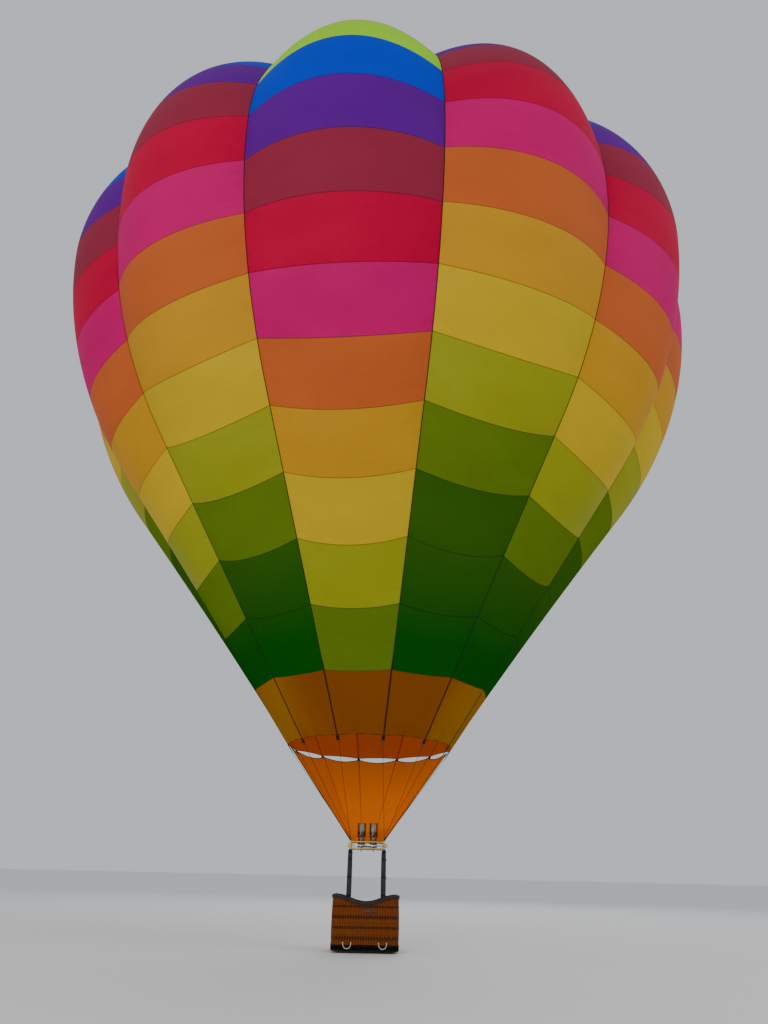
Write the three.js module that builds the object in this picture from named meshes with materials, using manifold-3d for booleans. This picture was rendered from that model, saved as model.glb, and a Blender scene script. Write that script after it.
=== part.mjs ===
import * as THREE from 'three';
import { mergeVertices } from 'three/addons/utils/BufferGeometryUtils.js';
import Module from 'manifold-3d';

// A hot air balloon: twelve billowed gores, a mouth band, a scoop, twelve flying wires,
// a gimballed double burner in its frame, and a wicker basket with its fuel tanks.
// Millimetres, +Z up. The origin is the centre of lift, on the envelope's axis.
// Heights in the tables below are above the underside of the basket's runners.
// Angles round the axis run from the front (-Y) towards +X.

const deg = THREE.MathUtils.degToRad;
const fitGap = 0.3;
const liftHeight = 14500;

// Envelope: a seam line made of a cone, an arc up to the equator, a shoulder and a crown arc
const goreCount = 12;
const goreStep = (2 * Math.PI) / goreCount;
const frontGoreAngle = deg(-6.5);
const mouthHeight = 4270;
const coneHalfAngle = deg(35);
const lowerArcRadius = 10000;
const equatorRadius = 8230;
const equatorHeight = 16350;
const shoulderRadius = 5200;
const shoulderSpan = deg(49.5);
const clothThickness = 10;
const billowShare = 0.43;
const billowGrowth = 0.65;

// Rows of panels: the lowest is the mouth band, and each row is a little shorter than the last
const firstRowLength = 1510;
const rowTaper = 26.5;
const rowCount = 18;
const goreColumns = 6;
const bandColumns = 4;

// Vent at the top: a flat hem round it, and a moving parachute panel under twelve tapes and a crown ring
const ventHem = 300;
const valveOverlap = 250;
const tapeWidth = 40;
const tapeThickness = 6;
const tapeLap = 110;
const crownRingOuter = 190;
const crownRingInner = 140;
const crownRingThickness = 16;

// Flying wires, in threes to the corners of the burner frame
const wireRadius = 4;
const wireEnd = { radius: 22, length: 170, sides: 8 };
const wiresPerCorner = 3;
const shackle = { across: 40, tall: 36 };

// Burner frame and gimbal
const frameHalf = 380;
const lowerRailHeight = 2040;
const upperRailHeight = 2180;
const railRadius = 14;
const cornerPost = { radius: 22, overrun: 20, sides: 12 };
const lug = { length: 60, thickness: 12, height: 70, clear: 24 };
const gimbalHeight = 2110;
const gimbalHalf = { x: 330, y: 205 };
const gimbalBar = 22;
const outerPin = { radius: 8, hole: 9 };
const crossPin = { radius: 6.5, hole: 7.5 };
const pinSides = 16;
const pinStandOut = 4;
const boreOverrun = 40;
const bearingPlate = { thickness: 12, width: 70 };

// Burners
const burnerSpacing = 276;
const burnerRadius = 104;
const burnerTopHeight = 2585;
const burnerWall = 8;
const burnerLip = 8;
const burnerNeck = { radius: 86, height: 150 };
const burnerFlange = { thickness: 20, slope: 10 };
const burnerFloor = 45;
const roundSides = 20;
const block = { halfX: 225, halfY: 62, bottom: 2070, top: 2140 };
const lever = { radius: 11, sides: 8, topY: -20, footY: -70, sunk: 10, drop: 90 };

// Scoop: the cloth skirt round the back of the burner, from the wires down to the frame
const scoopPanels = 6;
const scoopFirstSeam = -3;
const scoopCornerCut = 120;
const scoopInset = 46;
const scoopDrop = 70;
const scoopScallop = 150;
const scoopRows = 4;
const scoopColumnsPerPanel = 4;

// Basket
const runnerHeight = 40;
const floorThickness = 18;
const basketHalf = { x: 725, y: 550 };
const basketCorner = 190;
const smallestCorner = 20;
const cornerSteps = 5;
const sideSteps = 6;
const basketWall = 30;
const basketBelly = 12;
const wallEndHeight = 1052;
const wallDip = 150;
const rimRadius = 34;
const rimSides = 8;
const rimSeat = 0.95;
const hideFoot = 46;
const hideHeight = 160;
const hideStand = 4.3;
const hideThickness = 7;
const floorInset = 4;
const stepHole = { width: 240, height: 110, level: 430 };
const runner = { width: 62, length: 1240, spacing: 370 };

// Uprights in padded covers, and the sockets that hold them in the basket
const uprightTop = { x: 380, y: 380 };
const uprightFoot = { x: 385, y: 462 };
const uprightRadius = 48;
const uprightFootHeight = 870;
const uprightSides = 12;
const socket = { width: 80, depth: 46, height: 130, sunk: 8 };

// Fuel tanks in padded jackets
const tankAt = { x: 520, y: 335 };
const tankRadius = 152;
const tankHeight = 700;
const tankFoot = { edge: 14, rise: 22 };
const tankDome = { drop: 50, inset: 20, rim: 16 };
const tankCollar = { radius: 100, height: 90, edge: 10 };

// Solids joined and cut
const wasm = await Module();
wasm.setup();

function toSolid(geometry) {
  const bare = geometry.index ? geometry.toNonIndexed() : geometry.clone();
  bare.deleteAttribute('normal');
  bare.deleteAttribute('uv');
  const merged = mergeVertices(bare, 1e-4);
  return new wasm.Manifold(new wasm.Mesh({
    numProp: 3,
    vertProperties: new Float32Array(merged.attributes.position.array),
    triVerts: new Uint32Array(merged.index.array),
  }));
}

function toGeometry(solid) {
  const mesh = solid.getMesh();
  const geometry = new THREE.BufferGeometry();
  geometry.setAttribute('position', new THREE.BufferAttribute(mesh.vertProperties, 3));
  geometry.setIndex(new THREE.BufferAttribute(mesh.triVerts, 1));
  return geometry;
}

function joined(geometries) {
  return toGeometry(geometries.map(toSolid).reduce((whole, piece) => whole.add(piece)));
}

function cut(geometry, tools) {
  return toGeometry(tools.map(toSolid).reduce((whole, tool) => whole.subtract(tool), toSolid(geometry)));
}

// Plain shapes
function boxAt(x, y, z, sizeX, sizeY, sizeZ) {
  return new THREE.BoxGeometry(sizeX, sizeY, sizeZ).translate(x, y, z);
}

function rodBetween(from, to, radius, sides = 10) {
  const along = new THREE.Vector3().subVectors(to, from);
  const rod = new THREE.CylinderGeometry(radius, radius, along.length(), sides);
  const rodAxis = new THREE.Vector3(0, 1, 0);
  const turn = new THREE.Quaternion().setFromUnitVectors(rodAxis, along.clone().normalize());
  const middle = new THREE.Vector3().addVectors(from, to).multiplyScalar(0.5);
  return rod.applyQuaternion(turn).translate(middle.x, middle.y, middle.z);
}

function latheAt(x, y, profile, sides) {
  const points = profile.map(([radius, height]) => new THREE.Vector2(radius, height));
  return new THREE.LatheGeometry(points, sides).rotateX(Math.PI / 2).translate(x, y, 0);
}

// A body from points and triangles, turned so that its faces look outward
function faceted(points, faces) {
  const geometry = new THREE.BufferGeometry();
  const numbers = points.flatMap((point) => [point.x, point.y, point.z]);
  geometry.setAttribute('position', new THREE.Float32BufferAttribute(numbers, 3));
  geometry.setIndex(faces);
  return outward(geometry);
}

function outward(geometry) {
  const position = geometry.attributes.position;
  const index = geometry.index.array;
  const corner = [new THREE.Vector3(), new THREE.Vector3(), new THREE.Vector3()];
  let volume = 0;
  for (let i = 0; i < index.length; i += 3) {
    corner.forEach((point, k) => point.fromBufferAttribute(position, index[i + k]));
    volume += corner[0].dot(corner[1].clone().cross(corner[2]));
  }
  if (volume < 0) {
    for (let i = 0; i < index.length; i += 3) {
      [index[i + 1], index[i + 2]] = [index[i + 2], index[i + 1]];
    }
  }
  return geometry;
}

function quad(faces, a, b, c, d) {
  faces.push(a, b, c, a, c, d);
}

// A sheet with thickness: outer and inner grids of points, open at its edges or wrapped round
function shell(outer, inner, wrapped = false) {
  const rows = outer.length;
  const columns = outer[0].length;
  const points = [...outer.flat(), ...inner.flat()];
  const back = rows * columns;
  const at = (i, j, side = 0) => side + i * columns + (j % columns);
  const faces = [];
  const spans = wrapped ? columns : columns - 1;
  for (let i = 0; i < rows - 1; i += 1) {
    for (let j = 0; j < spans; j += 1) {
      quad(faces, at(i, j), at(i, j + 1), at(i + 1, j + 1), at(i + 1, j));
      quad(faces, at(i, j, back), at(i + 1, j, back), at(i + 1, j + 1, back), at(i, j + 1, back));
    }
  }
  for (let j = 0; j < spans; j += 1) {
    quad(faces, at(0, j), at(0, j, back), at(0, j + 1, back), at(0, j + 1));
    quad(faces, at(rows - 1, j), at(rows - 1, j + 1), at(rows - 1, j + 1, back), at(rows - 1, j, back));
  }
  if (!wrapped) {
    for (let i = 0; i < rows - 1; i += 1) {
      const last = columns - 1;
      quad(faces, at(i, 0), at(i + 1, 0), at(i + 1, 0, back), at(i, 0, back));
      quad(faces, at(i, last), at(i, last, back), at(i + 1, last, back), at(i + 1, last));
    }
  }
  return faceted(points, faces);
}

// A closed body through a list of loops, with its ends capped, or joined end to end as a ring
function loft(loops, ring = false) {
  const count = loops[0].length;
  const points = loops.flat();
  const faces = [];
  const spans = ring ? loops.length : loops.length - 1;
  for (let i = 0; i < spans; i += 1) {
    const next = (i + 1) % loops.length;
    for (let j = 0; j < count; j += 1) {
      const k = (j + 1) % count;
      quad(faces, i * count + j, i * count + k, next * count + k, next * count + j);
    }
  }
  if (!ring) {
    for (let j = 1; j < count - 1; j += 1) {
      faces.push(0, j + 1, j);
      const end = (loops.length - 1) * count;
      faces.push(end, end + j, end + j + 1);
    }
  }
  return faceted(points, faces);
}

// The seam line: radius, height and outward normal at a length up the cloth from the mouth
const coneTopRadius = equatorRadius - lowerArcRadius * (1 - Math.cos(coneHalfAngle));
const coneTopHeight = equatorHeight - lowerArcRadius * Math.sin(coneHalfAngle);
const coneLength = (coneTopHeight - mouthHeight) / Math.cos(coneHalfAngle);
const mouthRadius = coneTopRadius - coneLength * Math.sin(coneHalfAngle);
const equatorLength = coneLength + lowerArcRadius * coneHalfAngle;
const shoulderLength = equatorLength + shoulderRadius * shoulderSpan;
const shoulderEndRadius = equatorRadius - shoulderRadius * (1 - Math.cos(shoulderSpan));
const shoulderEndHeight = equatorHeight + shoulderRadius * Math.sin(shoulderSpan);
const crownRadius = shoulderEndRadius / Math.cos(shoulderSpan);
const crownCentreHeight = shoulderEndHeight - crownRadius * Math.sin(shoulderSpan);

function arcPoint(centreRadius, centreHeight, radius, angle) {
  const normal = { r: Math.cos(angle), z: Math.sin(angle) };
  return { r: centreRadius + radius * normal.r, z: centreHeight + radius * normal.z, normal };
}

function seamLine(length) {
  if (length < coneLength) {
    const normal = { r: Math.cos(coneHalfAngle), z: -Math.sin(coneHalfAngle) };
    return {
      r: mouthRadius + length * Math.sin(coneHalfAngle),
      z: mouthHeight + length * Math.cos(coneHalfAngle),
      normal,
    };
  }
  if (length < equatorLength) {
    const angle = (length - equatorLength) / lowerArcRadius;
    return arcPoint(equatorRadius - lowerArcRadius, equatorHeight, lowerArcRadius, angle);
  }
  if (length < shoulderLength) {
    const angle = (length - equatorLength) / shoulderRadius;
    return arcPoint(equatorRadius - shoulderRadius, equatorHeight, shoulderRadius, angle);
  }
  const angle = shoulderSpan + (length - shoulderLength) / crownRadius;
  return arcPoint(0, crownCentreHeight, crownRadius, angle);
}

// Length up the cloth to the top of a row of panels
function rowTop(row) {
  return row * firstRowLength - (rowTaper * row * (row - 1)) / 2;
}

const ventLength = rowTop(rowCount);
const hemLength = ventLength - ventHem;

// How far the cloth stands out at the middle of a gore
function billow(length) {
  const seam = seamLine(length);
  const halfChord = seam.r * Math.sin(goreStep / 2);
  if (length <= equatorLength) {
    const rise = Math.max(0, (seam.z - mouthHeight) / (equatorHeight - mouthHeight));
    return halfChord * billowShare * rise ** billowGrowth;
  }
  const fade = THREE.MathUtils.clamp((length - shoulderLength) / (hemLength - shoulderLength), 0, 1);
  return halfChord * billowShare * (1 - fade * fade);
}

// A point of the cloth: across runs from -1 to 1 between a gore's two seams
function clothPoint(centreAngle, across, length, inward = 0, swell = billow(length)) {
  const seam = seamLine(length);
  const radius = seam.r - inward * seam.normal.r;
  const stand = swell * (1 - across * across);
  const out = radius * Math.cos(goreStep / 2) + stand * seam.normal.r;
  const side = (radius * Math.sin(goreStep / 2) - fitGap / 2) * across;
  const height = seam.z - inward * seam.normal.z + stand * seam.normal.z - liftHeight;
  const sine = Math.sin(centreAngle);
  const cosine = Math.cos(centreAngle);
  return new THREE.Vector3(out * sine + side * cosine, -out * cosine + side * sine, height);
}

function goreAngle(index) {
  return frontGoreAngle + index * goreStep;
}

function gore(index) {
  const lengths = [];
  for (let row = 1; row < rowCount; row += 1) {
    lengths.push(rowTop(row) + (row === 1 ? fitGap : 0));
  }
  lengths.push(hemLength, ventLength);
  const layer = (inward) => lengths.map((length) => Array.from({ length: goreColumns + 1 }, (_, j) => (
    clothPoint(goreAngle(index), (2 * j) / goreColumns - 1, length, inward)
  )));
  return shell(layer(0), layer(clothThickness));
}

function mouthBand() {
  const lengths = [0, rowTop(1) / 2, rowTop(1)];
  const layer = (inward) => lengths.map((length) => {
    const loop = [];
    for (let index = 0; index < goreCount; index += 1) {
      for (let j = 0; j < bandColumns; j += 1) {
        loop.push(clothPoint(goreAngle(index), (2 * j) / bandColumns - 1, length, inward));
      }
    }
    return loop;
  });
  return shell(layer(0), layer(clothThickness), true);
}

// The hem is straight up the seam, so the panel under it follows the same line
function ventLapPoint(centreAngle, across, lap, inward) {
  const from = clothPoint(centreAngle, across, ventLength, inward, 0);
  const to = clothPoint(centreAngle, across, hemLength, inward, 0);
  return from.lerp(to, lap / ventHem);
}

const ventRadius = seamLine(ventLength).r;
const ventRingShares = [0.75, 0.5, 0.25, 0.055];

function crownLength(radius) {
  return shoulderLength + crownRadius * (Math.acos(radius / crownRadius) - shoulderSpan);
}

function parachuteValve() {
  const layer = (inward) => {
    const rings = [valveOverlap, 0].map((lap) => Array.from({ length: goreCount }, (_, index) => (
      ventLapPoint(goreAngle(index), -1, lap, inward)
    )));
    ventRingShares.forEach((share) => {
      rings.push(Array.from({ length: goreCount }, (_, index) => (
        clothPoint(goreAngle(index), -1, crownLength(ventRadius * share), inward, 0)
      )));
    });
    return rings;
  };
  const top = clothThickness + fitGap;
  return loft([...layer(top).reverse(), ...layer(top + clothThickness)]);
}

// Tapes over the vent, from the top edge of the gores to the crown ring
function crownTapes() {
  const ringFoot = seamLine(crownLength(crownRingOuter)).z + fitGap - liftHeight;
  const strips = Array.from({ length: goreCount }, (_, index) => {
    const angle = goreAngle(index) - goreStep / 2;
    const aside = new THREE.Vector3(Math.cos(angle), Math.sin(angle), 0).multiplyScalar(tapeWidth / 2);
    const stations = [
      ventLapPoint(goreAngle(index), -1, tapeLap, -fitGap),
      ventLapPoint(goreAngle(index), -1, 0, -fitGap),
      ...ventRingShares.map((share) => (
        clothPoint(goreAngle(index), -1, crownLength(ventRadius * share), -fitGap, 0)
      )),
    ];
    return loft(stations.map((point) => [
      point.clone().add(aside),
      point.clone().sub(aside),
      point.clone().sub(aside).setZ(point.z + tapeThickness),
      point.clone().add(aside).setZ(point.z + tapeThickness),
    ]));
  });
  const ring = latheAt(0, 0, [
    [crownRingInner, ringFoot],
    [crownRingOuter, ringFoot],
    [crownRingOuter, ringFoot + crownRingThickness],
    [crownRingInner, ringFoot + crownRingThickness],
    [crownRingInner, ringFoot],
  ], 24);
  return joined([ring, ...strips]);
}

// Flying wires
function levelled(x, y, height) {
  return new THREE.Vector3(x, y, height - liftHeight);
}

const frameCorners = [
  { name: 'front_right', x: 1, y: -1, firstSeam: 0 },
  { name: 'rear_right', x: 1, y: 1, firstSeam: 3 },
  { name: 'rear_left', x: -1, y: 1, firstSeam: 6 },
  { name: 'front_left', x: -1, y: -1, firstSeam: 9 },
];
const cornerTopHeight = upperRailHeight + cornerPost.overrun;
const cornerFootHeight = lowerRailHeight - cornerPost.overrun;

function seamAngle(seam) {
  return frontGoreAngle + goreStep / 2 + seam * goreStep;
}

function mouthPoint(seam, radius, height) {
  const angle = seamAngle(seam);
  return levelled(radius * Math.sin(angle), -radius * Math.cos(angle), height);
}

// The way the cloth rises at the mouth, along a seam
function clothRise(seam) {
  const angle = seamAngle(seam);
  const out = Math.sin(coneHalfAngle);
  return new THREE.Vector3(out * Math.sin(angle), -out * Math.cos(angle), Math.cos(coneHalfAngle));
}

// Each wire ends in a fitting in line with the cloth, seated under the mouth's edge at its seam
function flyingWires(corner) {
  const footHeight = cornerTopHeight + fitGap + shackle.tall / 2;
  const foot = levelled(corner.x * frameHalf, corner.y * frameHalf, footHeight);
  const pieces = [boxAt(foot.x, foot.y, foot.z, shackle.across, shackle.across, shackle.tall)];
  const edgeInset = (clothThickness / 2) * Math.cos(coneHalfAngle);
  const edgeRise = (clothThickness / 2) * Math.sin(coneHalfAngle);
  const cornerDrop = wireEnd.radius * Math.tan(goreStep / 2) * Math.sin(coneHalfAngle);
  for (let k = 0; k < wiresPerCorner; k += 1) {
    const seam = corner.firstSeam + k;
    const rise = clothRise(seam);
    const edge = mouthPoint(seam, mouthRadius - edgeInset, mouthHeight + edgeRise);
    const top = edge.clone().addScaledVector(rise, -fitGap - cornerDrop);
    const low = top.clone().addScaledVector(rise, -wireEnd.length);
    pieces.push(rodBetween(low, top, wireEnd.radius, wireEnd.sides));
    const joint = low.clone().addScaledVector(rise, wireEnd.radius);
    pieces.push(rodBetween(foot, joint, wireRadius, wireEnd.sides));
  }
  return joined(pieces);
}

// Burner frame: two square rails on corner posts, with bearing plates for the gimbal's pins
function frameLoop(height) {
  return frameCorners.map((corner, i) => {
    const next = frameCorners[(i + 1) % frameCorners.length];
    return rodBetween(
      levelled(corner.x * frameHalf, corner.y * frameHalf, height),
      levelled(next.x * frameHalf, next.y * frameHalf, height),
      railRadius,
    );
  });
}

function burnerFrame() {
  const posts = frameCorners.map((corner) => rodBetween(
    levelled(corner.x * frameHalf, corner.y * frameHalf, cornerFootHeight),
    levelled(corner.x * frameHalf, corner.y * frameHalf, cornerTopHeight),
    cornerPost.radius,
    cornerPost.sides,
  ));
  const plates = [-1, 1].map((side) => boxAt(
    side * frameHalf,
    0,
    gimbalHeight - liftHeight,
    bearingPlate.thickness,
    bearingPlate.width,
    upperRailHeight - lowerRailHeight,
  ));
  const lugs = [-1, 1].flatMap((side) => [-1, 1].map((end) => boxAt(
    side * (frameHalf + cornerPost.radius + lug.clear),
    end * frameHalf,
    gimbalHeight - liftHeight,
    lug.length,
    lug.thickness,
    lug.height,
  )));
  const hole = rodBetween(
    levelled(-frameHalf - boreOverrun, 0, gimbalHeight),
    levelled(frameHalf + boreOverrun, 0, gimbalHeight),
    outerPin.hole,
    pinSides,
  );
  const rails = [...frameLoop(lowerRailHeight), ...frameLoop(upperRailHeight)];
  return cut(joined([...rails, ...posts, ...plates, ...lugs]), [hole]);
}

// Gimbal ring, pinned to the frame across X and to the burner block across Y
function gimbalRing() {
  const { x, y } = gimbalHalf;
  const z = gimbalHeight - liftHeight;
  const bars = [
    boxAt(0, -y, z, 2 * x + gimbalBar, gimbalBar, gimbalBar),
    boxAt(0, y, z, 2 * x + gimbalBar, gimbalBar, gimbalBar),
    boxAt(-x, 0, z, gimbalBar, 2 * y, gimbalBar),
    boxAt(x, 0, z, gimbalBar, 2 * y, gimbalBar),
  ];
  const pinEnd = frameHalf + bearingPlate.thickness / 2 + pinStandOut;
  const pins = [-1, 1].map((side) => rodBetween(
    levelled(side * x, 0, gimbalHeight),
    levelled(side * pinEnd, 0, gimbalHeight),
    outerPin.radius,
    pinSides,
  ));
  const hole = rodBetween(
    levelled(0, -y - boreOverrun, gimbalHeight),
    levelled(0, y + boreOverrun, gimbalHeight),
    crossPin.hole,
    pinSides,
  );
  return cut(joined([...bars, ...pins]), [hole]);
}

// Burner block: the valve body under the two burners, with the gimbal's cross pins
function burnerBlock() {
  const middle = (block.top + block.bottom) / 2 - liftHeight;
  const body = boxAt(0, 0, middle, 2 * block.halfX, 2 * block.halfY, block.top - block.bottom);
  const pinEnd = gimbalHalf.y + gimbalBar / 2 + pinStandOut;
  const pins = rodBetween(
    levelled(0, -pinEnd, gimbalHeight),
    levelled(0, pinEnd, gimbalHeight),
    crossPin.radius,
    pinSides,
  );
  const levers = [-1, 1].map((side) => rodBetween(
    levelled(side * burnerSpacing / 2, lever.topY, block.bottom + lever.sunk),
    levelled(side * burnerSpacing / 2, lever.footY, block.bottom - lever.drop),
    lever.radius,
    lever.sides,
  ));
  return joined([body, pins, ...levers]);
}

// A burner: neck, flange and coil can, open at the top
function burnerCan(side) {
  const base = block.top + fitGap - liftHeight;
  const top = burnerTopHeight - liftHeight;
  const neckTop = base + burnerNeck.height;
  const flangeTop = neckTop + burnerFlange.thickness;
  const canRadius = burnerRadius - burnerLip;
  return latheAt(side * burnerSpacing / 2, 0, [
    [0, base],
    [burnerNeck.radius, base],
    [burnerNeck.radius, neckTop],
    [burnerRadius, neckTop],
    [burnerRadius, flangeTop],
    [canRadius, flangeTop + burnerFlange.slope],
    [canRadius, top - burnerLip],
    [burnerRadius, top - burnerLip],
    [burnerRadius, top],
    [canRadius - burnerWall, top],
    [canRadius - burnerWall, neckTop + burnerFloor],
    [0, neckTop + burnerFloor],
  ], roundSides);
}

// Scoop: ruled from points under the mouth's seams down to three sides of the burner frame
function scoopFootPath() {
  const edge = frameHalf;
  const front = -(frameHalf - scoopCornerCut);
  const corner = frameHalf - scoopCornerCut / 2;
  const third = frameHalf / 3;
  return [
    [-edge, front],
    [-edge, 0],
    [-corner, corner],
    [-third, edge],
    [third, edge],
    [corner, corner],
    [edge, front],
  ].map(([x, y]) => levelled(x, y, upperRailHeight + railRadius + fitGap));
}

function scoop() {
  const feet = scoopFootPath();
  const tops = feet.map((_, k) => mouthPoint(
    scoopFirstSeam - k,
    mouthRadius - scoopInset - scoopDrop * Math.tan(coneHalfAngle),
    mouthHeight - scoopDrop,
  ));
  const columns = [];
  for (let k = 0; k < scoopPanels; k += 1) {
    for (let j = 0; j < scoopColumnsPerPanel; j += 1) {
      columns.push({ k, t: j / scoopColumnsPerPanel });
    }
  }
  columns.push({ k: scoopPanels - 1, t: 1 });
  const layer = (inward) => Array.from({ length: scoopRows + 1 }, (_, i) => columns.map(({ k, t }) => {
    const top = tops[k].clone().lerp(tops[k + 1], t);
    const foot = feet[k].clone().lerp(feet[k + 1], t);
    const dip = scoopScallop * 4 * t * (1 - t);
    const down = new THREE.Vector3().subVectors(foot, top);
    top.addScaledVector(down.clone().normalize(), dip);
    const point = top.lerp(foot, i / scoopRows);
    const away = new THREE.Vector3(point.x, point.y, 0).normalize();
    return point.addScaledVector(away, -inward);
  }));
  return shell(layer(0), layer(clothThickness));
}

// Basket outline: a rounded rectangle, with points along its sides as well as round its corners
function basketOutline(inset) {
  const radius = Math.max(smallestCorner, basketCorner - inset);
  const centre = { x: basketHalf.x - inset - radius, y: basketHalf.y - inset - radius };
  const arcs = [[1, -1], [1, 1], [-1, 1], [-1, -1]].map(([sideX, sideY], corner) => (
    Array.from({ length: cornerSteps + 1 }, (_, i) => {
      const angle = (corner - 1 + i / cornerSteps) * (Math.PI / 2);
      return {
        x: sideX * centre.x + radius * Math.cos(angle),
        y: sideY * centre.y + radius * Math.sin(angle),
      };
    })
  ));
  return arcs.flatMap((arc, corner) => {
    const from = arc[cornerSteps];
    const to = arcs[(corner + 1) % arcs.length][0];
    const side = Array.from({ length: sideSteps - 1 }, (_, i) => {
      const share = (i + 1) / sideSteps;
      return { x: from.x + (to.x - from.x) * share, y: from.y + (to.y - from.y) * share };
    });
    return [...arc, ...side];
  });
}

// The wall's top edge sweeps down from the ends to a dip in the middle of the front and back
function wallTop(point) {
  const reach = Math.min(1, Math.abs(point.x) / basketHalf.x);
  return wallEndHeight - wallDip * Math.cos((reach * Math.PI) / 2) ** 2;
}

const wallTops = basketOutline(basketWall / 2).map(wallTop);

const wallFootHeight = runnerHeight + floorThickness + fitGap;

function belly(share) {
  return basketBelly * Math.sin(Math.PI * share);
}

const wallShares = [0, 0.2, 0.5, 0.8, 1];

function basketBody() {
  const layer = (inset) => wallShares.map((share) => basketOutline(inset - belly(share)).map((point, i) => {
    const height = wallFootHeight + (wallTops[i] - wallFootHeight) * share;
    return levelled(point.x, point.y, height);
  }));
  const wall = shell(layer(0), layer(basketWall), true);
  const sockets = [-1, 1].flatMap((sx) => [-1, 1].map((sy) => boxAt(
    sx * uprightFoot.x,
    sy * (basketHalf.y - basketWall - socket.depth / 2 + socket.sunk),
    uprightFootHeight - fitGap - socket.height / 2 - liftHeight,
    socket.width,
    socket.depth,
    socket.height,
  )));
  const steps = [-1, 1].map((side) => boxAt(
    side * basketHalf.x,
    0,
    stepHole.level - liftHeight,
    4 * basketWall,
    stepHole.width,
    stepHole.height,
  ));
  return cut(joined([wall, ...sockets]), steps);
}

function basketRim() {
  const path = basketOutline(basketWall / 2);
  const loops = path.map((point, i) => {
    const before = path[(i + path.length - 1) % path.length];
    const after = path[(i + 1) % path.length];
    const run = new THREE.Vector2(after.x - before.x, after.y - before.y).normalize();
    const height = wallTops[i] + rimSeat + rimRadius * Math.cos(Math.PI / rimSides);
    return Array.from({ length: rimSides }, (_, j) => {
      const angle = ((j + 0.5) / rimSides) * 2 * Math.PI;
      const across = rimRadius * Math.cos(angle);
      const rise = rimRadius * Math.sin(angle);
      return levelled(point.x + run.y * across, point.y - run.x * across, height + rise);
    });
  });
  return loft(loops, true);
}

function hideBand() {
  const rows = [{ height: hideFoot, stand: 0 }, { height: hideHeight, stand: hideStand }];
  const layer = (out) => rows.map(({ height, stand }) => basketOutline(-stand - out).map((point) => (
    levelled(point.x, point.y, height)
  )));
  return shell(layer(hideThickness), layer(fitGap), true);
}

function basketFloor() {
  const outline = basketOutline(floorInset).map((point) => [point.x, point.y]);
  const loop = (height) => outline.map(([x, y]) => levelled(x, y, height));
  return loft([loop(runnerHeight + fitGap), loop(runnerHeight + floorThickness)]);
}

function basketRunner(index) {
  const y = (index - 1) * runner.spacing;
  return boxAt(0, y, runnerHeight / 2 - liftHeight, runner.length, runner.width, runnerHeight);
}

// Padded upright: a slim tapered roll from its socket in the basket to the frame's corner post
function upright(corner) {
  const foot = levelled(corner.x * uprightFoot.x, corner.y * uprightFoot.y, uprightFootHeight);
  const head = levelled(corner.x * uprightTop.x, corner.y * uprightTop.y, cornerFootHeight - fitGap);
  const sections = [
    { share: 0, radius: 0.72 }, { share: 0.04, radius: 0.97 }, { share: 0.35, radius: 1 },
    { share: 0.7, radius: 0.98 }, { share: 0.96, radius: 0.9 }, { share: 1, radius: 0.62 },
  ];
  return loft(sections.map(({ share, radius }) => {
    const centre = foot.clone().lerp(head, share);
    return Array.from({ length: uprightSides }, (_, j) => {
      const angle = (j / uprightSides) * 2 * Math.PI;
      const x = centre.x + uprightRadius * radius * Math.cos(angle);
      const y = centre.y + uprightRadius * radius * Math.sin(angle);
      return new THREE.Vector3(x, y, centre.z);
    });
  }));
}

// Fuel tank: a padded jacket with a domed top and a covered guard collar over the valve
function fuelTank(corner) {
  const base = runnerHeight + floorThickness + fitGap - liftHeight;
  const top = base + tankHeight;
  const collarTop = top + tankCollar.height;
  return latheAt(corner.x * tankAt.x, corner.y * tankAt.y, [
    [0, base],
    [tankRadius - tankFoot.edge, base],
    [tankRadius, base + tankFoot.rise],
    [tankRadius, top - tankDome.drop],
    [tankRadius - tankDome.inset, top - tankDome.rim],
    [tankCollar.radius, top],
    [tankCollar.radius, collarTop - tankCollar.edge],
    [tankCollar.radius - tankCollar.edge, collarTop],
    [0, collarTop],
  ], roundSides);
}

// Colours of the cloth, in the order in which the rows run up a gore
const rainbow = {
  green: 0x0c4a14, lime: 0x8fae1c, yellow: 0xd9b92e, amber: 0xe0962f, orange: 0xd8621c, pink: 0xd12a72,
};
const goreTints = [rainbow.orange, rainbow.yellow, rainbow.amber, rainbow.lime, rainbow.pink, rainbow.green];

const balloon = new THREE.Group();

function add(name, geometry, color, roughness, metalness = 0) {
  const material = new THREE.MeshStandardMaterial({ color, roughness, metalness });
  const mesh = new THREE.Mesh(geometry, material);
  mesh.name = name;
  balloon.add(mesh);
}

for (let index = 0; index < goreCount; index += 1) {
  add(`gore_${String(index + 1).padStart(2, '0')}`, gore(index), goreTints[index % goreTints.length], 0.55);
}
add('mouth_band', mouthBand(), 0x8a4a10, 0.6);
add('parachute_valve', parachuteValve(), 0xb7cf52, 0.55);
add('crown_tapes', crownTapes(), 0x1a1a1a, 0.7);
add('scoop', scoop(), 0xd06a08, 0.6);
frameCorners.forEach((corner) => {
  add(`flying_wires_${corner.name}`, flyingWires(corner), 0x17181a, 0.5, 0.3);
});
add('burner_frame', burnerFrame(), 0xb8b8ba, 0.35, 0.9);
add('gimbal_ring', gimbalRing(), 0x8f9092, 0.4, 0.9);
add('burner_block', burnerBlock(), 0x3a3a3c, 0.45, 0.7);
add('burner_left', burnerCan(-1), 0xa6a6a8, 0.3, 1);
add('burner_right', burnerCan(1), 0xa6a6a8, 0.3, 1);
frameCorners.forEach((corner) => {
  add(`upright_${corner.name}`, upright(corner), 0x2a2c30, 0.85);
});
add('basket_body', basketBody(), 0x9a5a24, 0.8);
add('basket_rim', basketRim(), 0x4a2f1e, 0.7);
add('basket_hide_band', hideBand(), 0x14140f, 0.8);
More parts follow.
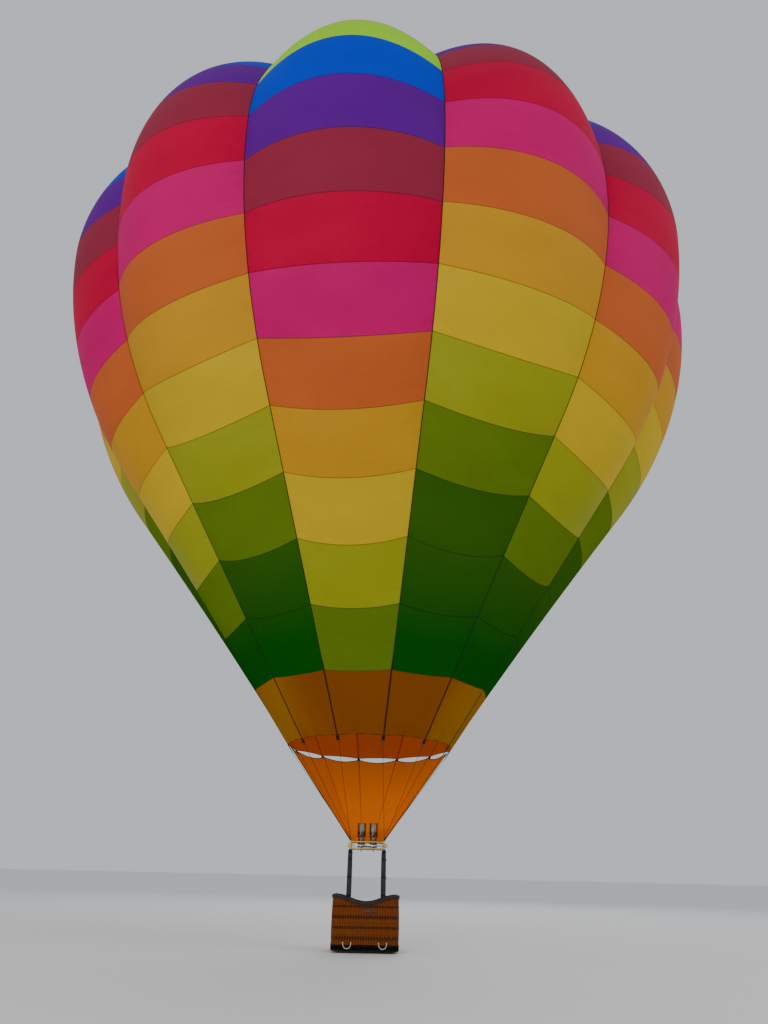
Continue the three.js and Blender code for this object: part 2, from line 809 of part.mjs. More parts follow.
add('basket_floor', basketFloor(), 0xa98655, 0.8);
[0, 1, 2].forEach((index) => {
  add(`runner_${index + 1}`, basketRunner(index), 0xb18a55, 0.8);
});
frameCorners.forEach((corner) => {
  add(`fuel_tank_${corner.name}`, fuelTank(corner), 0x20242c, 0.85);
});

export default balloon;
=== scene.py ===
import random
from math import acos, cos, exp, hypot, pi, radians, sin, sqrt, tan

import bmesh
import bpy
from mathutils import Matrix, Vector


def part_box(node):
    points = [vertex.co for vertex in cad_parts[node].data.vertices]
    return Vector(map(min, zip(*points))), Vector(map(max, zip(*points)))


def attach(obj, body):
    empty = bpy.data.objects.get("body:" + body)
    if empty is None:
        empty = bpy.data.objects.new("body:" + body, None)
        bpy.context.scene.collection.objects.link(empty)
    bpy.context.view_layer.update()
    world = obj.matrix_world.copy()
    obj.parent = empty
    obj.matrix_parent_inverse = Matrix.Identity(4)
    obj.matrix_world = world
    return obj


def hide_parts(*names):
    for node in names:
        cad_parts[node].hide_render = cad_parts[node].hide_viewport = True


# A hot air balloon, dressed over its CAD frame. Metres, +Z up, origin at the centre of lift.

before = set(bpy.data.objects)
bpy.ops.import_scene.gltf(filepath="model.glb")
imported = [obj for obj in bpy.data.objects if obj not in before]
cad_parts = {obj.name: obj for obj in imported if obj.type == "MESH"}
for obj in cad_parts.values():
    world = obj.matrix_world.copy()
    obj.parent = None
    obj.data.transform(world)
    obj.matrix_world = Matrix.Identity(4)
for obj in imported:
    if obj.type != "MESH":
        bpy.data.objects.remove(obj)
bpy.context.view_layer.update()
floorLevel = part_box("runner_2")[0].z
print("frame loaded, floor at", round(floorLevel, 3))


def addObject(name, data):
    made = bpy.data.objects.new(name, data)
    bpy.context.scene.collection.objects.link(made)
    return made


# Camera, at the photo's distance and eye height

viewpoint = {
    "distance": 19.2, "eyeHeight": 1.53, "pitch": 25.21, "yaw": 0.63, "roll": -1.29, "focalPixels": 769,
    "imageHeight": 1024, "sensor": 36, "clip": (0.1, 2000),
}


def makeCamera():
    pitch, yaw, roll = (radians(viewpoint[key]) for key in ("pitch", "yaw", "roll"))
    ahead = Vector((sin(yaw), cos(yaw), 0))
    level = Vector((cos(yaw), -sin(yaw), 0))
    forward = ahead * cos(pitch) + Vector((0, 0, sin(pitch)))
    upward = Vector((0, 0, cos(pitch))) - ahead * sin(pitch)
    right = level * cos(roll) - upward * sin(roll)
    top = level * sin(roll) + upward * cos(roll)
    data = bpy.data.cameras.new("camera")
    data.sensor_width = viewpoint["sensor"]
    data.lens = viewpoint["sensor"] * viewpoint["focalPixels"] / viewpoint["imageHeight"]
    data.clip_start, data.clip_end = viewpoint["clip"]
    camera = addObject("camera", data)
    eye = Matrix.Translation((0, -viewpoint["distance"], floorLevel + viewpoint["eyeHeight"]))
    camera.matrix_world = eye @ Matrix((right, top, -forward)).transposed().to_4x4()
    bpy.context.scene.camera = camera


makeCamera()


# Meshes

clothEdge = radians(50)  # edges sharper than this show as edges on a thickened cloth


def meshPiece(name, points, faces, materials, faceMaterials=None):
    data = bpy.data.meshes.new(name)
    data.from_pydata([tuple(point) for point in points], [], faces)
    for material in materials:
        data.materials.append(material)
    if faceMaterials:
        data.polygons.foreach_set("material_index", faceMaterials)
    data.polygons.foreach_set("use_smooth", [True] * len(data.polygons))
    data.update()
    return addObject(name, data)


def gridFaces(rows, columns, wrapped=False):
    faces = []
    for i in range(rows - 1):
        for j in range(columns if wrapped else columns - 1):
            k = (j + 1) % columns
            faces.append((i * columns + j, i * columns + k, (i + 1) * columns + k, (i + 1) * columns + j))
    return faces


def addUv(piece, name, places):
    layer = piece.data.uv_layers.new(name=name)
    corners = [0] * len(piece.data.loops)
    piece.data.loops.foreach_get("vertex_index", corners)
    layer.data.foreach_set("uv", [value for vertex in corners for value in places[vertex]])


def applyModifiers(piece):
    graph = bpy.context.evaluated_depsgraph_get()
    graph.update()
    made = bpy.data.meshes.new_from_object(piece.evaluated_get(graph), preserve_all_data_layers=True,
                                           depsgraph=graph)
    old = piece.data
    piece.modifiers.clear()
    piece.data = made
    bpy.data.meshes.remove(old)
    return piece


def outward(piece):
    mesh = bmesh.new()
    mesh.from_mesh(piece.data)
    bmesh.ops.remove_doubles(mesh, verts=mesh.verts, dist=1e-6)
    bmesh.ops.recalc_face_normals(mesh, faces=mesh.faces)
    mesh.to_mesh(piece.data)
    mesh.free()
    piece.data.update()


def thicken(piece, thickness, inside=0):
    wall = piece.modifiers.new("thickness", "SOLIDIFY")
    wall.thickness = thickness
    wall.offset = -1
    wall.material_offset = inside
    applyModifiers(piece)
    piece.data.set_sharp_from_angle(angle=clothEdge)


# Panels side by side in one cloth: place gives a point and its places in the cloth and panel maps
def panelGrid(panels, rows, columns, place):
    points, faces, clothUv, panelUv = [], [], [], []
    for panel in range(panels):
        start = len(points)
        for i in range(rows + 1):
            for j in range(columns + 1):
                for values, value in zip((points, clothUv, panelUv), place(panel, i, j)):
                    values.append(value)
        faces += [tuple(start + k for k in face) for face in gridFaces(rows + 1, columns + 1)]
    return points, faces, clothUv, panelUv


# A thickened cloth with its two maps, and its area before that
def clothPiece(name, grid, materials, thickness, inside=0, faceMaterials=None):
    points, faces, clothUv, panelUv = grid
    piece = meshPiece(name, points, faces, materials, faceMaterials)
    addUv(piece, "cloth", clothUv)
    addUv(piece, "panel", panelUv)
    area = sum(face.area for face in piece.data.polygons)
    if not faceMaterials:
        outward(piece)
    thicken(piece, thickness, inside)
    return piece, area


def seat(piece, nodes=(), body="root"):
    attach(piece, body)
    if nodes:
        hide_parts(*nodes)
    return piece


# Shader nodes

def link(tree, source, target):
    tree.links.new(source, target)


def feed(tree, target, value):
    if hasattr(value, "is_output"):
        link(tree, value, target)
    elif target.type == "RGBA":
        target.default_value = (*value[:3], 1)
    else:
        target.default_value = value


def addNode(tree, kind, inputs=None, output=0, **settings):
    node = tree.nodes.new(kind)
    for name, value in settings.items():
        setattr(node, name, value)
    for socket, value in (inputs or {}).items():
        feed(tree, node.inputs[socket], value)
    return node.outputs[output]


def mathNode(tree, operation, *values):
    return addNode(tree, "ShaderNodeMath", dict(enumerate(values)), operation=operation)


def times(tree, first, second):
    return mathNode(tree, "MULTIPLY", first, second)


def plus(tree, first, second):
    return mathNode(tree, "ADD", first, second)


def pingPong(tree, value, reach):
    return mathNode(tree, "PINGPONG", value, reach)


def mixColour(tree, share, first, second, blend="MIX"):
    inputs = {0: share, 6: first, 7: second}
    return addNode(tree, "ShaderNodeMix", inputs, 2, data_type="RGBA", blend_type=blend)


def shaded(tree, colour, shade):
    return mixColour(tree, 1.0, colour, shade, "MULTIPLY")


def rangeNode(tree, value, low, high, toLow=0.0, toHigh=1.0, smooth=False):
    inputs = {"Value": value, "From Min": low, "From Max": high, "To Min": toLow, "To Max": toHigh}
    return addNode(tree, "ShaderNodeMapRange", inputs, interpolation_type="SMOOTHSTEP" if smooth else "LINEAR")


# Noise turned into a value that goes from below to above the given one
def spread(tree, noise, value, below, above):
    return rangeNode(tree, noise, 0.3, 0.7, mathNode(tree, "SUBTRACT", value, below), plus(tree, value, above))


def noiseNode(tree, vector, scale, detail=3, roughness=0.5):
    inputs = {"Vector": vector, "Scale": scale, "Detail": detail, "Roughness": roughness}
    return addNode(tree, "ShaderNodeTexNoise", inputs, "Fac")


def stretched(tree, vector, scale):
    return addNode(tree, "ShaderNodeMapping", {"Vector": vector, "Scale": scale})


def objectPlace(tree):
    return addNode(tree, "ShaderNodeTexCoord", output="Object")


def uvPlace(tree, name):
    return addNode(tree, "ShaderNodeUVMap", uv_map=name)


def axes(tree, vector):
    node = tree.nodes.new("ShaderNodeSeparateXYZ")
    link(tree, vector, node.inputs[0])
    return node.outputs


# Shader groups: each effect is built once and placed in its materials with their own values

grey = (0.5, 0.5, 0.5, 1.0)


def newGroup(name, inputs):
    group = bpy.data.node_groups.new(name, "ShaderNodeTree")
    for socket, value in inputs.items():
        kind = {3: "Vector", 4: "Color"}[len(value)] if isinstance(value, tuple) else "Float"
        made = group.interface.new_socket(socket, in_out="INPUT", socket_type="NodeSocket" + kind)
        made.default_value = value
    return group, group.nodes.new("NodeGroupInput").outputs


def giveOut(group, results):
    for socket in results:
        kind = "NodeSocketColor" if socket == "Colour" else "NodeSocketFloat"
        group.interface.new_socket(socket, in_out="OUTPUT", socket_type=kind)
    end = group.nodes.new("NodeGroupOutput")
    for socket, source in results.items():
        link(group, source, end.inputs[socket])
    return group


# Cloth: ripstop squares, soft unevenness, a dark sewn line at each edge of a panel
ripstop = {
    "rowLength": 1.3, "seamFade": 1.8, "seamShade": 0.55, "seamRise": 0.003, "square": 0.004,
    "thread": 0.0009, "threadRise": 0.0007, "wrinkleRise": 0.03, "nearTape": 0.2,
}


def ripstopGroup():
    group, given = newGroup("ripstopCloth", {"Colour": grey, "Seam Colour": grey, "Seam Half Width": 0.006,
                                             "Roughness": 0.6, "Unevenness": 0.07})
    cloth = uvPlace(group, "cloth")
    across, along, _ = axes(group, uvPlace(group, "panel"))
    half, unevenness = given["Seam Half Width"], given["Unevenness"]
    rowMetres = times(group, pingPong(group, along, 0.5), ripstop["rowLength"])
    seamEnd = times(group, half, ripstop["seamFade"])
    seam = rangeNode(group, rowMetres, half, seamEnd, 1.0, 0.0, True)
    broad = noiseNode(group, stretched(group, cloth, (0.45, 0.9, 1)), 1.0, 3, 0.55)
    fine = noiseNode(group, cloth, 9.0, 2, 0.6)
    mottled = mathNode(group, "MULTIPLY_ADD", broad, 0.75, times(group, fine, 0.25))
    shade = spread(group, mottled, 1.0, unevenness, unevenness)
    seamShare = times(group, seam, ripstop["seamShade"])
    roughness = mathNode(group, "SUBTRACT", given["Roughness"], 0.08)
    grid = mathNode(group, "MINIMUM", *(pingPong(group, axis, ripstop["square"])
                                        for axis in axes(group, cloth)[:2]))
    threads = rangeNode(group, grid, 0.0, ripstop["thread"], ripstop["threadRise"], 0.0, True)
    wrinkle = noiseNode(group, stretched(group, cloth, (0.8, 5.0, 1)), 1.4, 3, 0.5)
    nearTape = rangeNode(group, pingPong(group, across, 0.5), 0.0, ripstop["nearTape"], 1.0, 0.12, True)
    soft = times(group, wrinkle, times(group, nearTape, ripstop["wrinkleRise"]))
    sewn = times(group, seam, ripstop["seamRise"])
    return giveOut(group, {
        "Colour": mixColour(group, seamShare, shaded(group, given["Colour"], shade), given["Seam Colour"]),
        "Roughness": mathNode(group, "MULTIPLY_ADD", fine, 0.16, roughness),
        "Height": plus(group, plus(group, soft, threads), sewn),
    })


# Plastic and paint: an even speckle
def speckleGroup():
    group, given = newGroup("speckle", {"Colour": grey, "Roughness": 0.5, "Grain": 40.0, "Mottling": 0.15})
    noise = noiseNode(group, objectPlace(group), given["Grain"], 4, 0.6)
    shade = spread(group, noise, 1.0, given["Mottling"], given["Mottling"])
    return giveOut(group, {"Colour": shaded(group, given["Colour"], shade),
                           "Roughness": spread(group, noise, given["Roughness"], 0.08, 0.08), "Height": noise})


# Woven tape: fine ribs along it, read from the sweep's own UV
def webbingGroup():
    group, given = newGroup("wovenTape", {"Colour": grey, "Rib": 0.0028})
    cross = pingPong(group, axes(group, uvPlace(group, "weave"))[1], given["Rib"])
    shade = rangeNode(group, noiseNode(group, objectPlace(group), 60, 3), 0.3, 0.7, 0.75, 1.25)
    return giveOut(group, {"Colour": shaded(group, given["Colour"], shade),
                           "Height": rangeNode(group, cross, 0.0, given["Rib"], 0.0, 0.0006, True)})


# Metal: fine scratches and an uneven polish
def metalGroup():
    group, given = newGroup("brushedMetal", {"Colour": grey, "Roughness": 0.3, "Stretch": (60.0, 60.0, 6.0)})
    place = objectPlace(group)
    brushed = noiseNode(group, stretched(group, place, given["Stretch"]), 3.0, 4, 0.65)
    broad = noiseNode(group, place, 9.0, 3)
    worn = mathNode(group, "MULTIPLY_ADD", brushed, 0.6, times(group, broad, 0.4))
    shade = rangeNode(group, broad, 0.25, 0.75, 0.86, 1.1)
    return giveOut(group, {"Colour": shaded(group, given["Colour"], shade),
                           "Roughness": spread(group, worn, given["Roughness"], 0.1, 0.14), "Height": brushed})


# Cane: streaks along each strand, darker strands by the tone attribute
def caneGroup():
    group, given = newGroup("caneStreaks", {"Colour": grey, "Dark Colour": grey})
    place = objectPlace(group)
    tone = addNode(group, "ShaderNodeAttribute", output="Fac", attribute_name="tone")
    streak = noiseNode(group, stretched(group, place, (9, 9, 260)), 3.0, 3, 0.6)
    patch = noiseNode(group, place, 14.0, 3, 0.6)
    shade = plus(group, times(group, streak, 0.7), times(group, patch, 0.5))
    varied = shaded(group, given["Colour"], rangeNode(group, shade, 0.3, 0.9, 0.66, 1.3))
    darkness = rangeNode(group, tone, 0.0, 1.0, 1.0, 0.0)
    return giveOut(group, {"Colour": mixColour(group, darkness, varied, given["Dark Colour"]),
                           "Roughness": rangeNode(group, streak, 0.3, 0.7, 0.5, 0.72), "Height": streak})


# Leather: a pebbled grain with soft creases
def leatherGroup():
    group, given = newGroup("pebbledLeather", {"Colour": grey, "Roughness": 0.5, "Grain": 420.0})
    place = objectPlace(group)
    cells = addNode(group, "ShaderNodeTexVoronoi", {"Scale": given["Grain"], "Vector": place}, "Distance")
    crease = noiseNode(group, place, 22, 5, 0.62)
    shade = rangeNode(group, crease, 0.3, 0.7, 0.72, 1.25)
    return giveOut(group, {"Colour": shaded(group, given["Colour"], shade),
                           "Roughness": spread(group, crease, given["Roughness"], 0.08, 0.14),
                           "Height": plus(group, times(group, cells, 0.35), crease)})


# Wood: long grain lines along one axis, with darker late wood
def woodGroup():
    inputs = {"Colour": grey, "Dark Colour": grey, "Squeeze": (1.0, 1.0, 1.0), "Grain": 26.0}
    group, given = newGroup("woodGrain", inputs)
    squeezed = stretched(group, objectPlace(group), given["Squeeze"])
    waves = noiseNode(group, squeezed, given["Grain"], 6, 0.6)
    fine = noiseNode(group, squeezed, times(group, given["Grain"], 9.0), 3, 0.6)
    grain = pingPong(group, times(group, waves, 5.0), 0.5)
    share = plus(group, times(group, grain, 1.2), times(group, fine, 0.5))
    late = rangeNode(group, share, 0.1, 1.0, smooth=True)
    mixed = mixColour(group, late, given["Colour"], given["Dark Colour"])
    return giveOut(group, {"Colour": mixed, "Height": share})


# Padded nylon: a close weave with soft wrinkles
def paddedGroup():
    group, given = newGroup("paddedNylon", {"Colour": grey})
    place = objectPlace(group)
    threads = [pingPong(group, axis, 0.0011) for axis in axes(group, place)]
    weave = plus(group, plus(group, threads[0], threads[1]), threads[2])
    wrinkle = noiseNode(group, stretched(group, place, (1, 1, 0.45)), 16, 4, 0.55)
    height = plus(group, times(group, wrinkle, 0.006), times(group, weave, 0.35))
    shade = rangeNode(group, wrinkle, 0.3, 0.7, 0.8, 1.2)
    return giveOut(group, {"Colour": shaded(group, given["Colour"], shade), "Height": height})


effects = {
    "cloth": ripstopGroup(), "speckle": speckleGroup(), "webbing": webbingGroup(), "metal": metalGroup(),
    "cane": caneGroup(), "leather": leatherGroup(), "wood": woodGroup(), "padded": paddedGroup(),
}


# Materials

def principled(name, sockets):
    material = bpy.data.materials.new(name)
    material.use_nodes = True
    shader = material.node_tree.nodes["Principled BSDF"]
    for socket, value in sockets.items():
        feed(material.node_tree, shader.inputs[socket], value)
    return material, shader


# An effect with its values, and the shader's own values: bump is its strength and distance
def finish(name, effect, values, bump, sockets=None):
    start = {"Base Color": values["Colour"], "Roughness": values["Roughness"]}
    material, shader = principled(name, {**start, **(sockets or {})})
    tree = material.node_tree
    node = tree.nodes.new("ShaderNodeGroup")
    node.node_tree = effects[effect]
    for socket in node.inputs:
        if socket.name in values:
            feed(tree, socket, values[socket.name])
    for output, target in (("Colour", "Base Color"), ("Roughness", "Roughness")):
        if output in node.outputs:
            link(tree, node.outputs[output], shader.inputs[target])
    height = {"Height": node.outputs["Height"], "Strength": bump[0], "Distance": bump[1]}
    link(tree, addNode(tree, "ShaderNodeBump", height), shader.inputs["Normal"])
    return material, node, shader


# paintedGlow sends the cloth's own colour out as emission: painted light, standing for daylight that shines
# through the thin cloth
def clothMaterial(name, colour, paintedGlow=0.12, seamColour=(0.012, 0.01, 0.01), seamHalf=0.006, gloss=0.04,
                  backlitEdgeColour=None, lowColour=None):
    values = {"Colour": colour, "Roughness": 0.6, "Seam Colour": seamColour, "Seam Half Width": seamHalf}
    material, node, shader = finish(name, "cloth", values, (0.6, 1.0),
                                    {"Specular IOR Level": gloss, "Emission Strength": paintedGlow})
    tree = material.node_tree
    # Painted glow: the cloth lights itself in its own colour
    link(tree, node.outputs["Colour"], shader.inputs["Emission Color"])
    # Painted backlight: where the cloth is seen edge-on, its colour moves towards a brighter, yellower one, as
    # if lit through from behind
    if backlitEdgeColour:
        facing = addNode(tree, "ShaderNodeLayerWeight", output="Facing")
        turned = rangeNode(tree, facing, 0.2, 0.55, smooth=True)
        link(tree, mixColour(tree, turned, colour, backlitEdgeColour), node.inputs["Colour"])
    if lowColour:
        rise = rangeNode(tree, axes(tree, uvPlace(tree, "panel"))[1], 1.5, 3.3)
        link(tree, mixColour(tree, rise, lowColour, colour), node.inputs["Colour"])
    return material


def plainMaterial(name, colour, roughness, grain, mottling=0.15):
    values = {"Colour": colour, "Roughness": roughness, "Grain": grain, "Mottling": mottling}
    return finish(name, "speckle", values, (0.5, 0.0006))[0]


def webbing(name, colour, rib=0.0028, roughness=0.8):
    values = {"Colour": colour, "Roughness": roughness, "Rib": rib}
    return finish(name, "webbing", values, (0.6, 1.0), {"Specular IOR Level": 0.15})[0]


def metal(name, colour, roughness, metallic=1.0, scratch=0.35, stretch=(60, 60, 6)):
    values = {"Colour": colour, "Roughness": roughness, "Stretch": stretch}
    return finish(name, "metal", values, (scratch, 0.0004), {"Metallic": metallic})[0]


def caneMaterial(name, colour, dark):
    values = {"Colour": colour, "Roughness": 0.62, "Dark Colour": dark}
    return finish(name, "cane", values, (0.5, 0.0008), {"Specular IOR Level": 0.12})[0]


def leatherMaterial(name, colour, roughness=0.5, grain=420, gloss=0.3, depth=0.0016):
    values = {"Colour": colour, "Roughness": roughness, "Grain": grain}
    return finish(name, "leather", values, (0.5, depth), {"Specular IOR Level": gloss})[0]


def woodMaterial(name, light, dark, along, grain, roughness):
    squeeze = tuple(0.06 if axis == along else 1.0 for axis in range(3))
    values = {"Colour": light, "Roughness": roughness, "Dark Colour": dark, "Squeeze": squeeze, "Grain": grain}
    return finish(name, "wood", values, (0.3, 0.0006), {"Coat Weight": 0.2, "Coat Roughness": 0.3})[0]


def paddedMaterial(name, colour):
    return finish(name, "padded", {"Colour": colour, "Roughness": 0.72}, (0.7, 1.0),
                  {"Sheen Weight": 0.1, "Sheen Roughness": 0.4, "Specular IOR Level": 0.2})[0]


alloy = metal("alloy", (0.62, 0.62, 0.63), 0.32)
steel = metal("steel", (0.66, 0.65, 0.63), 0.2, scratch=0.2)
darkMetal = metal("darkMetal", (0.06, 0.06, 0.065), 0.42, 0.8)
brass = metal("brass", (0.62, 0.42, 0.16), 0.3)
tapeBlack = webbing("tapeBlack", (0.014, 0.008, 0.009))
tapeBrown = webbing("tapeBrown", (0.034, 0.009, 0.005))


# Directions, and sections to sweep, round or flat

quarterX, quarterY = (Matrix.Rotation(pi / 2, 4, axis) for axis in "XY")


def around(count, shift=0):
    return [2 * pi * (i + shift) / count for i in range(count)]


def heading(angle):
    return Vector((cos(angle), sin(angle), 0))


def raised(height):
    return Vector((0, 0, height))


def outFrom(point):
    return Vector((point.x, point.y, 0)).normalized()


def circle(radius, sides=16):
    return [(radius * cos(angle), radius * sin(angle)) for angle in around(sides)]


def slab(width, thickness, corner=0.0, steps=3):
    if not corner:
        return [(x * width / 2, y * thickness / 2) for x, y in ((-1, -1), (1, -1), (1, 1), (-1, 1))]
    section = []
    for k, (x, y) in enumerate(((1, -1), (1, 1), (-1, 1), (-1, -1))):
        for i in range(steps + 1):
            angle = (k - 1 + i / steps) * pi / 2
            section.append((x * (width / 2 - corner) + corner * cos(angle),
                            y * (thickness / 2 - corner) + corner * sin(angle)))
    return section


# A mesh gathered from lofted, swept, turned and boxed parts, each with a material number and a UV place
class Shape:
    def __init__(self):
        self.points, self.faces, self.marks, self.places = [], [], [], []

    def add(self, points, faces, mark=0, places=None):
        start = len(self.points)
        self.points += points
        self.faces += [tuple(start + i for i in face) for face in faces]
        self.marks += [mark] * len(faces)
        self.places += places or [(0, 0)] * len(points)

    def loft(self, rings, mark=0, closed=False):
        rings = [list(ring) + [ring[0]] for ring in rings]
        if closed:
            rings.append(rings[0])
        columns = len(rings[0])
        places, along = [], 0.0
        for i, ring in enumerate(rings):
            along += (ring[0] - rings[i - 1][0]).length if i else 0
            places += [(j / (columns - 1), along) for j in range(columns)]
        faces = gridFaces(len(rings), columns)
        if not closed:
            end = (len(rings) - 1) * columns
            faces += [tuple(range(columns - 1))[::-1], tuple(end + j for j in range(columns - 1))]
        self.add([point for ring in rings for point in ring], faces, mark, places)

    def sweep(self, path, section, mark=0, closed=False, sizes=None, side=None):
        path = [Vector(point) for point in path]
        rings = []
        for i, point in enumerate(path):
            before = path[i - 1] if i or closed else point
            after = path[(i + 1) % len(path)] if i < len(path) - 1 or closed else point
            ahead = (after - before).normalized()
            side = ahead.orthogonal() if side is None else Vector(side)
            side = (side - ahead * side.dot(ahead)).normalized()
            up = ahead.cross(side)
            size = sizes[i] if sizes else 1
            rings.append([point + (side * x + up * y) * size for x, y in section])
        self.loft(rings, mark, closed)

    def rod(self, start, end, radius, mark=0, sides=16):
        self.sweep([start, end], circle(radius, sides), mark)

    # A flat section along a path, its width along the given side
    def strap(self, path, width, thickness, side, mark=0, corner=0.0, closed=False):
        self.sweep(path, slab(width, thickness, corner), mark, closed, side=side)

    def turn(self, profile, place=None, sides=32, mark=0):
        place = place or Matrix()
        if not isinstance(place, Matrix):
            place = Matrix.Translation(place)
        points, places = [], []
        for radius, height in profile:
            for j, angle in enumerate(around(sides) + [0.0]):
                points.append(place @ Vector((radius * cos(angle), radius * sin(angle), height)))
                places.append((j / sides, height))
        self.add(points, gridFaces(len(profile), sides + 1), mark, places)

    def solid(self, profile, place=None, sides=32, mark=0):
        self.turn([(0, profile[0][1]), *profile, (0, profile[-1][1])], place, sides, mark)

    def box(self, centre, size, mark=0, turn=None):
        turn = turn or Matrix()
        points = [Vector(centre) + turn @ Vector((x * size[0] / 2, y * size[1] / 2, z * size[2] / 2))
                  for z in (-1, 1) for x, y in ((-1, -1), (1, -1), (1, 1), (-1, 1))]
        faces = [(3, 2, 1, 0), (4, 5, 6, 7), (0, 1, 5, 4), (1, 2, 6, 5), (2, 3, 7, 6), (3, 0, 4, 7)]
        self.add(points, faces, mark)

    def ring(self, centre, axis, radius, thickness, mark=0, steps=28, sides=10, stretch=1.0, long=None):
        axis = Vector(axis).normalized()
        across = Vector(long).normalized() if long else axis.orthogonal().normalized()
        other = axis.cross(across)
        path = [Vector(centre) + across * radius * stretch * cos(angle) + other * radius * sin(angle)
                for angle in around(steps)]
        self.sweep(path, circle(thickness, sides), mark, closed=True, side=axis)

    # A flat plate with a round hole: the outline is met at even angles round the hole
    def plate(self, place, outline, hole, thickness, steps):
        points = []
        for height in (-thickness / 2, thickness / 2):
            for reach in (outline, lambda angle: hole):
                for angle in around(steps):
                    radius = reach(angle)
                    points.append(place @ Vector((radius * cos(angle), radius * sin(angle), height)))
        faces = []
        for i in range(steps):
            k = (i + 1) % steps
            for a, b in ((0, 1), (1, 3), (3, 2), (2, 0)):
                faces.append((a * steps + i, a * steps + k, b * steps + k, b * steps + i))
        self.add(points, faces)

    def make(self, name, materials, bevel=0.0, sharp=35, uv=None):
        piece = meshPiece(name, self.points, self.faces, materials, self.marks)
        if uv:
            addUv(piece, uv, self.places)
        outward(piece)
        if bevel:
            edge = piece.modifiers.new("edge", "BEVEL")
            edge.width = bevel
            edge.segments = 2
            edge.limit_method = "ANGLE"
            edge.angle_limit = radians(sharp)
            applyModifiers(piece)
        piece.data.set_sharp_from_angle(angle=radians(sharp))
        return piece


def squareReach(halfX, halfY, corner):
    def reach(angle):
        cosine, sine = abs(cos(angle)), abs(sin(angle))
        straight = min(halfX / max(cosine, 1e-6), halfY / max(sine, 1e-6))
        x, y = halfX - corner, halfY - corner
        along = x * cosine + y * sine
        inside = max(0, corner * corner - (x * x + y * y) + along * along)
        curved = along + sqrt(inside)
        onArc = curved * cosine > x and curved * sine > y
        return curved if onArc else straight
    return reach


# Geometry Nodes: tubes along the edges of a mesh, and copies of a piece on points

def newTree(name, inputs):
    tree = bpy.data.node_groups.new(name, "GeometryNodeTree")
    for socket, kind in {"Geometry": "Geometry", **inputs}.items():
        tree.interface.new_socket(socket, in_out="INPUT", socket_type="NodeSocket" + kind)
    tree.interface.new_socket("Geometry", in_out="OUTPUT", socket_type="NodeSocketGeometry")
    return tree, tree.nodes.new("NodeGroupInput").outputs


def endTree(tree, geometry, material):
    whole = addNode(tree, "GeometryNodeRealizeInstances", {"Geometry": geometry})
    dressed = addNode(tree, "GeometryNodeSetMaterial", {"Geometry": whole, "Material": material})
    link(tree, dressed, tree.nodes.new("NodeGroupOutput").inputs[0])
    return tree


def makeTubeTree():
    tree, given = newTree("tubesOnEdges", {"Radius": "Float", "Sides": "Int", "Material": "Material"})
    ring = addNode(tree, "GeometryNodeCurvePrimitiveCircle",
                   {"Resolution": given["Sides"], "Radius": given["Radius"]})
    lines = addNode(tree, "GeometryNodeMeshToCurve", {"Mesh": given["Geometry"]})
    tube = addNode(tree, "GeometryNodeCurveToMesh", {"Curve": lines, "Profile Curve": ring, "Fill Caps": True})
    return endTree(tree, addNode(tree, "GeometryNodeSetShadeSmooth", {0: tube}), given["Material"])


def makeScatterTree():
    tree, given = newTree("copiesOnPoints", {"Piece": "Object", "Material": "Material"})
    aim, side = (addNode(tree, "GeometryNodeInputNamedAttribute", {"Name": name}, data_type="FLOAT_VECTOR")
                 for name in ("aim", "side"))
    aimed = addNode(tree, "FunctionNodeAlignRotationToVector", {"Vector": aim}, axis="Z")
    turned = addNode(tree, "FunctionNodeAlignRotationToVector", {"Rotation": aimed, "Vector": side},
                     axis="X", pivot_axis="Z")
    source = addNode(tree, "GeometryNodeObjectInfo", {"Object": given["Piece"]}, "Geometry")
    copies = addNode(tree, "GeometryNodeInstanceOnPoints",
                     {"Points": given["Geometry"], "Instance": source, "Rotation": turned})
    return endTree(tree, copies, given["Material"])


tubeTree, scatterTree = makeTubeTree(), makeScatterTree()


def runTree(piece, tree, values):
    layer = piece.modifiers.new(tree.name, "NODES")
    layer.node_group = tree
    for item in tree.interface.items_tree:
        if item.in_out == "INPUT" and item.name in values:
            layer[item.identifier] = values[item.name]
    return applyModifiers(piece)


def barePiece(name, points, edges, attributes):
    data = bpy.data.meshes.new(name)
    data.from_pydata([tuple(point) for point in points], edges, [])
    for attribute, (kind, field, values) in attributes.items():
        data.attributes.new(attribute, kind, "POINT").data.foreach_set(field, values)
    return addObject(name, data)


# Each line is a list of points; a closed line ends where it starts
def tubes(name, lines, radius, sides, material, tones):
    points, edges, tone = [], [], []
    for (line, closed), lineTone in zip(lines, tones):
        start = len(points)
        points += line
        edges += [(start + i, start + i + 1) for i in range(len(line) - 1)]
        if closed:
            edges.append((start + len(line) - 1, start))
        tone += [lineTone] * len(line)
    piece = barePiece(name, points, edges, {"tone": ("FLOAT", "value", tone)})
    return runTree(piece, tubeTree, {"Radius": radius, "Sides": sides, "Material": material})


# Each place is a point, the way the copy's Z axis aims and the way its X axis leans
def scatter(name, places, template, material):
    points, *turns = zip(*places)
    piece = barePiece(name, points, [], {
        attribute: ("FLOAT_VECTOR", "vector", [value for turn in values for value in Vector(turn)])
        for attribute, values in zip(("aim", "side"), turns)})
    runTree(piece, scatterTree, {"Piece": template, "Material": material})
    bpy.data.objects.remove(template)
    return piece


# Envelope: the same seam line and billow as the frame's gores

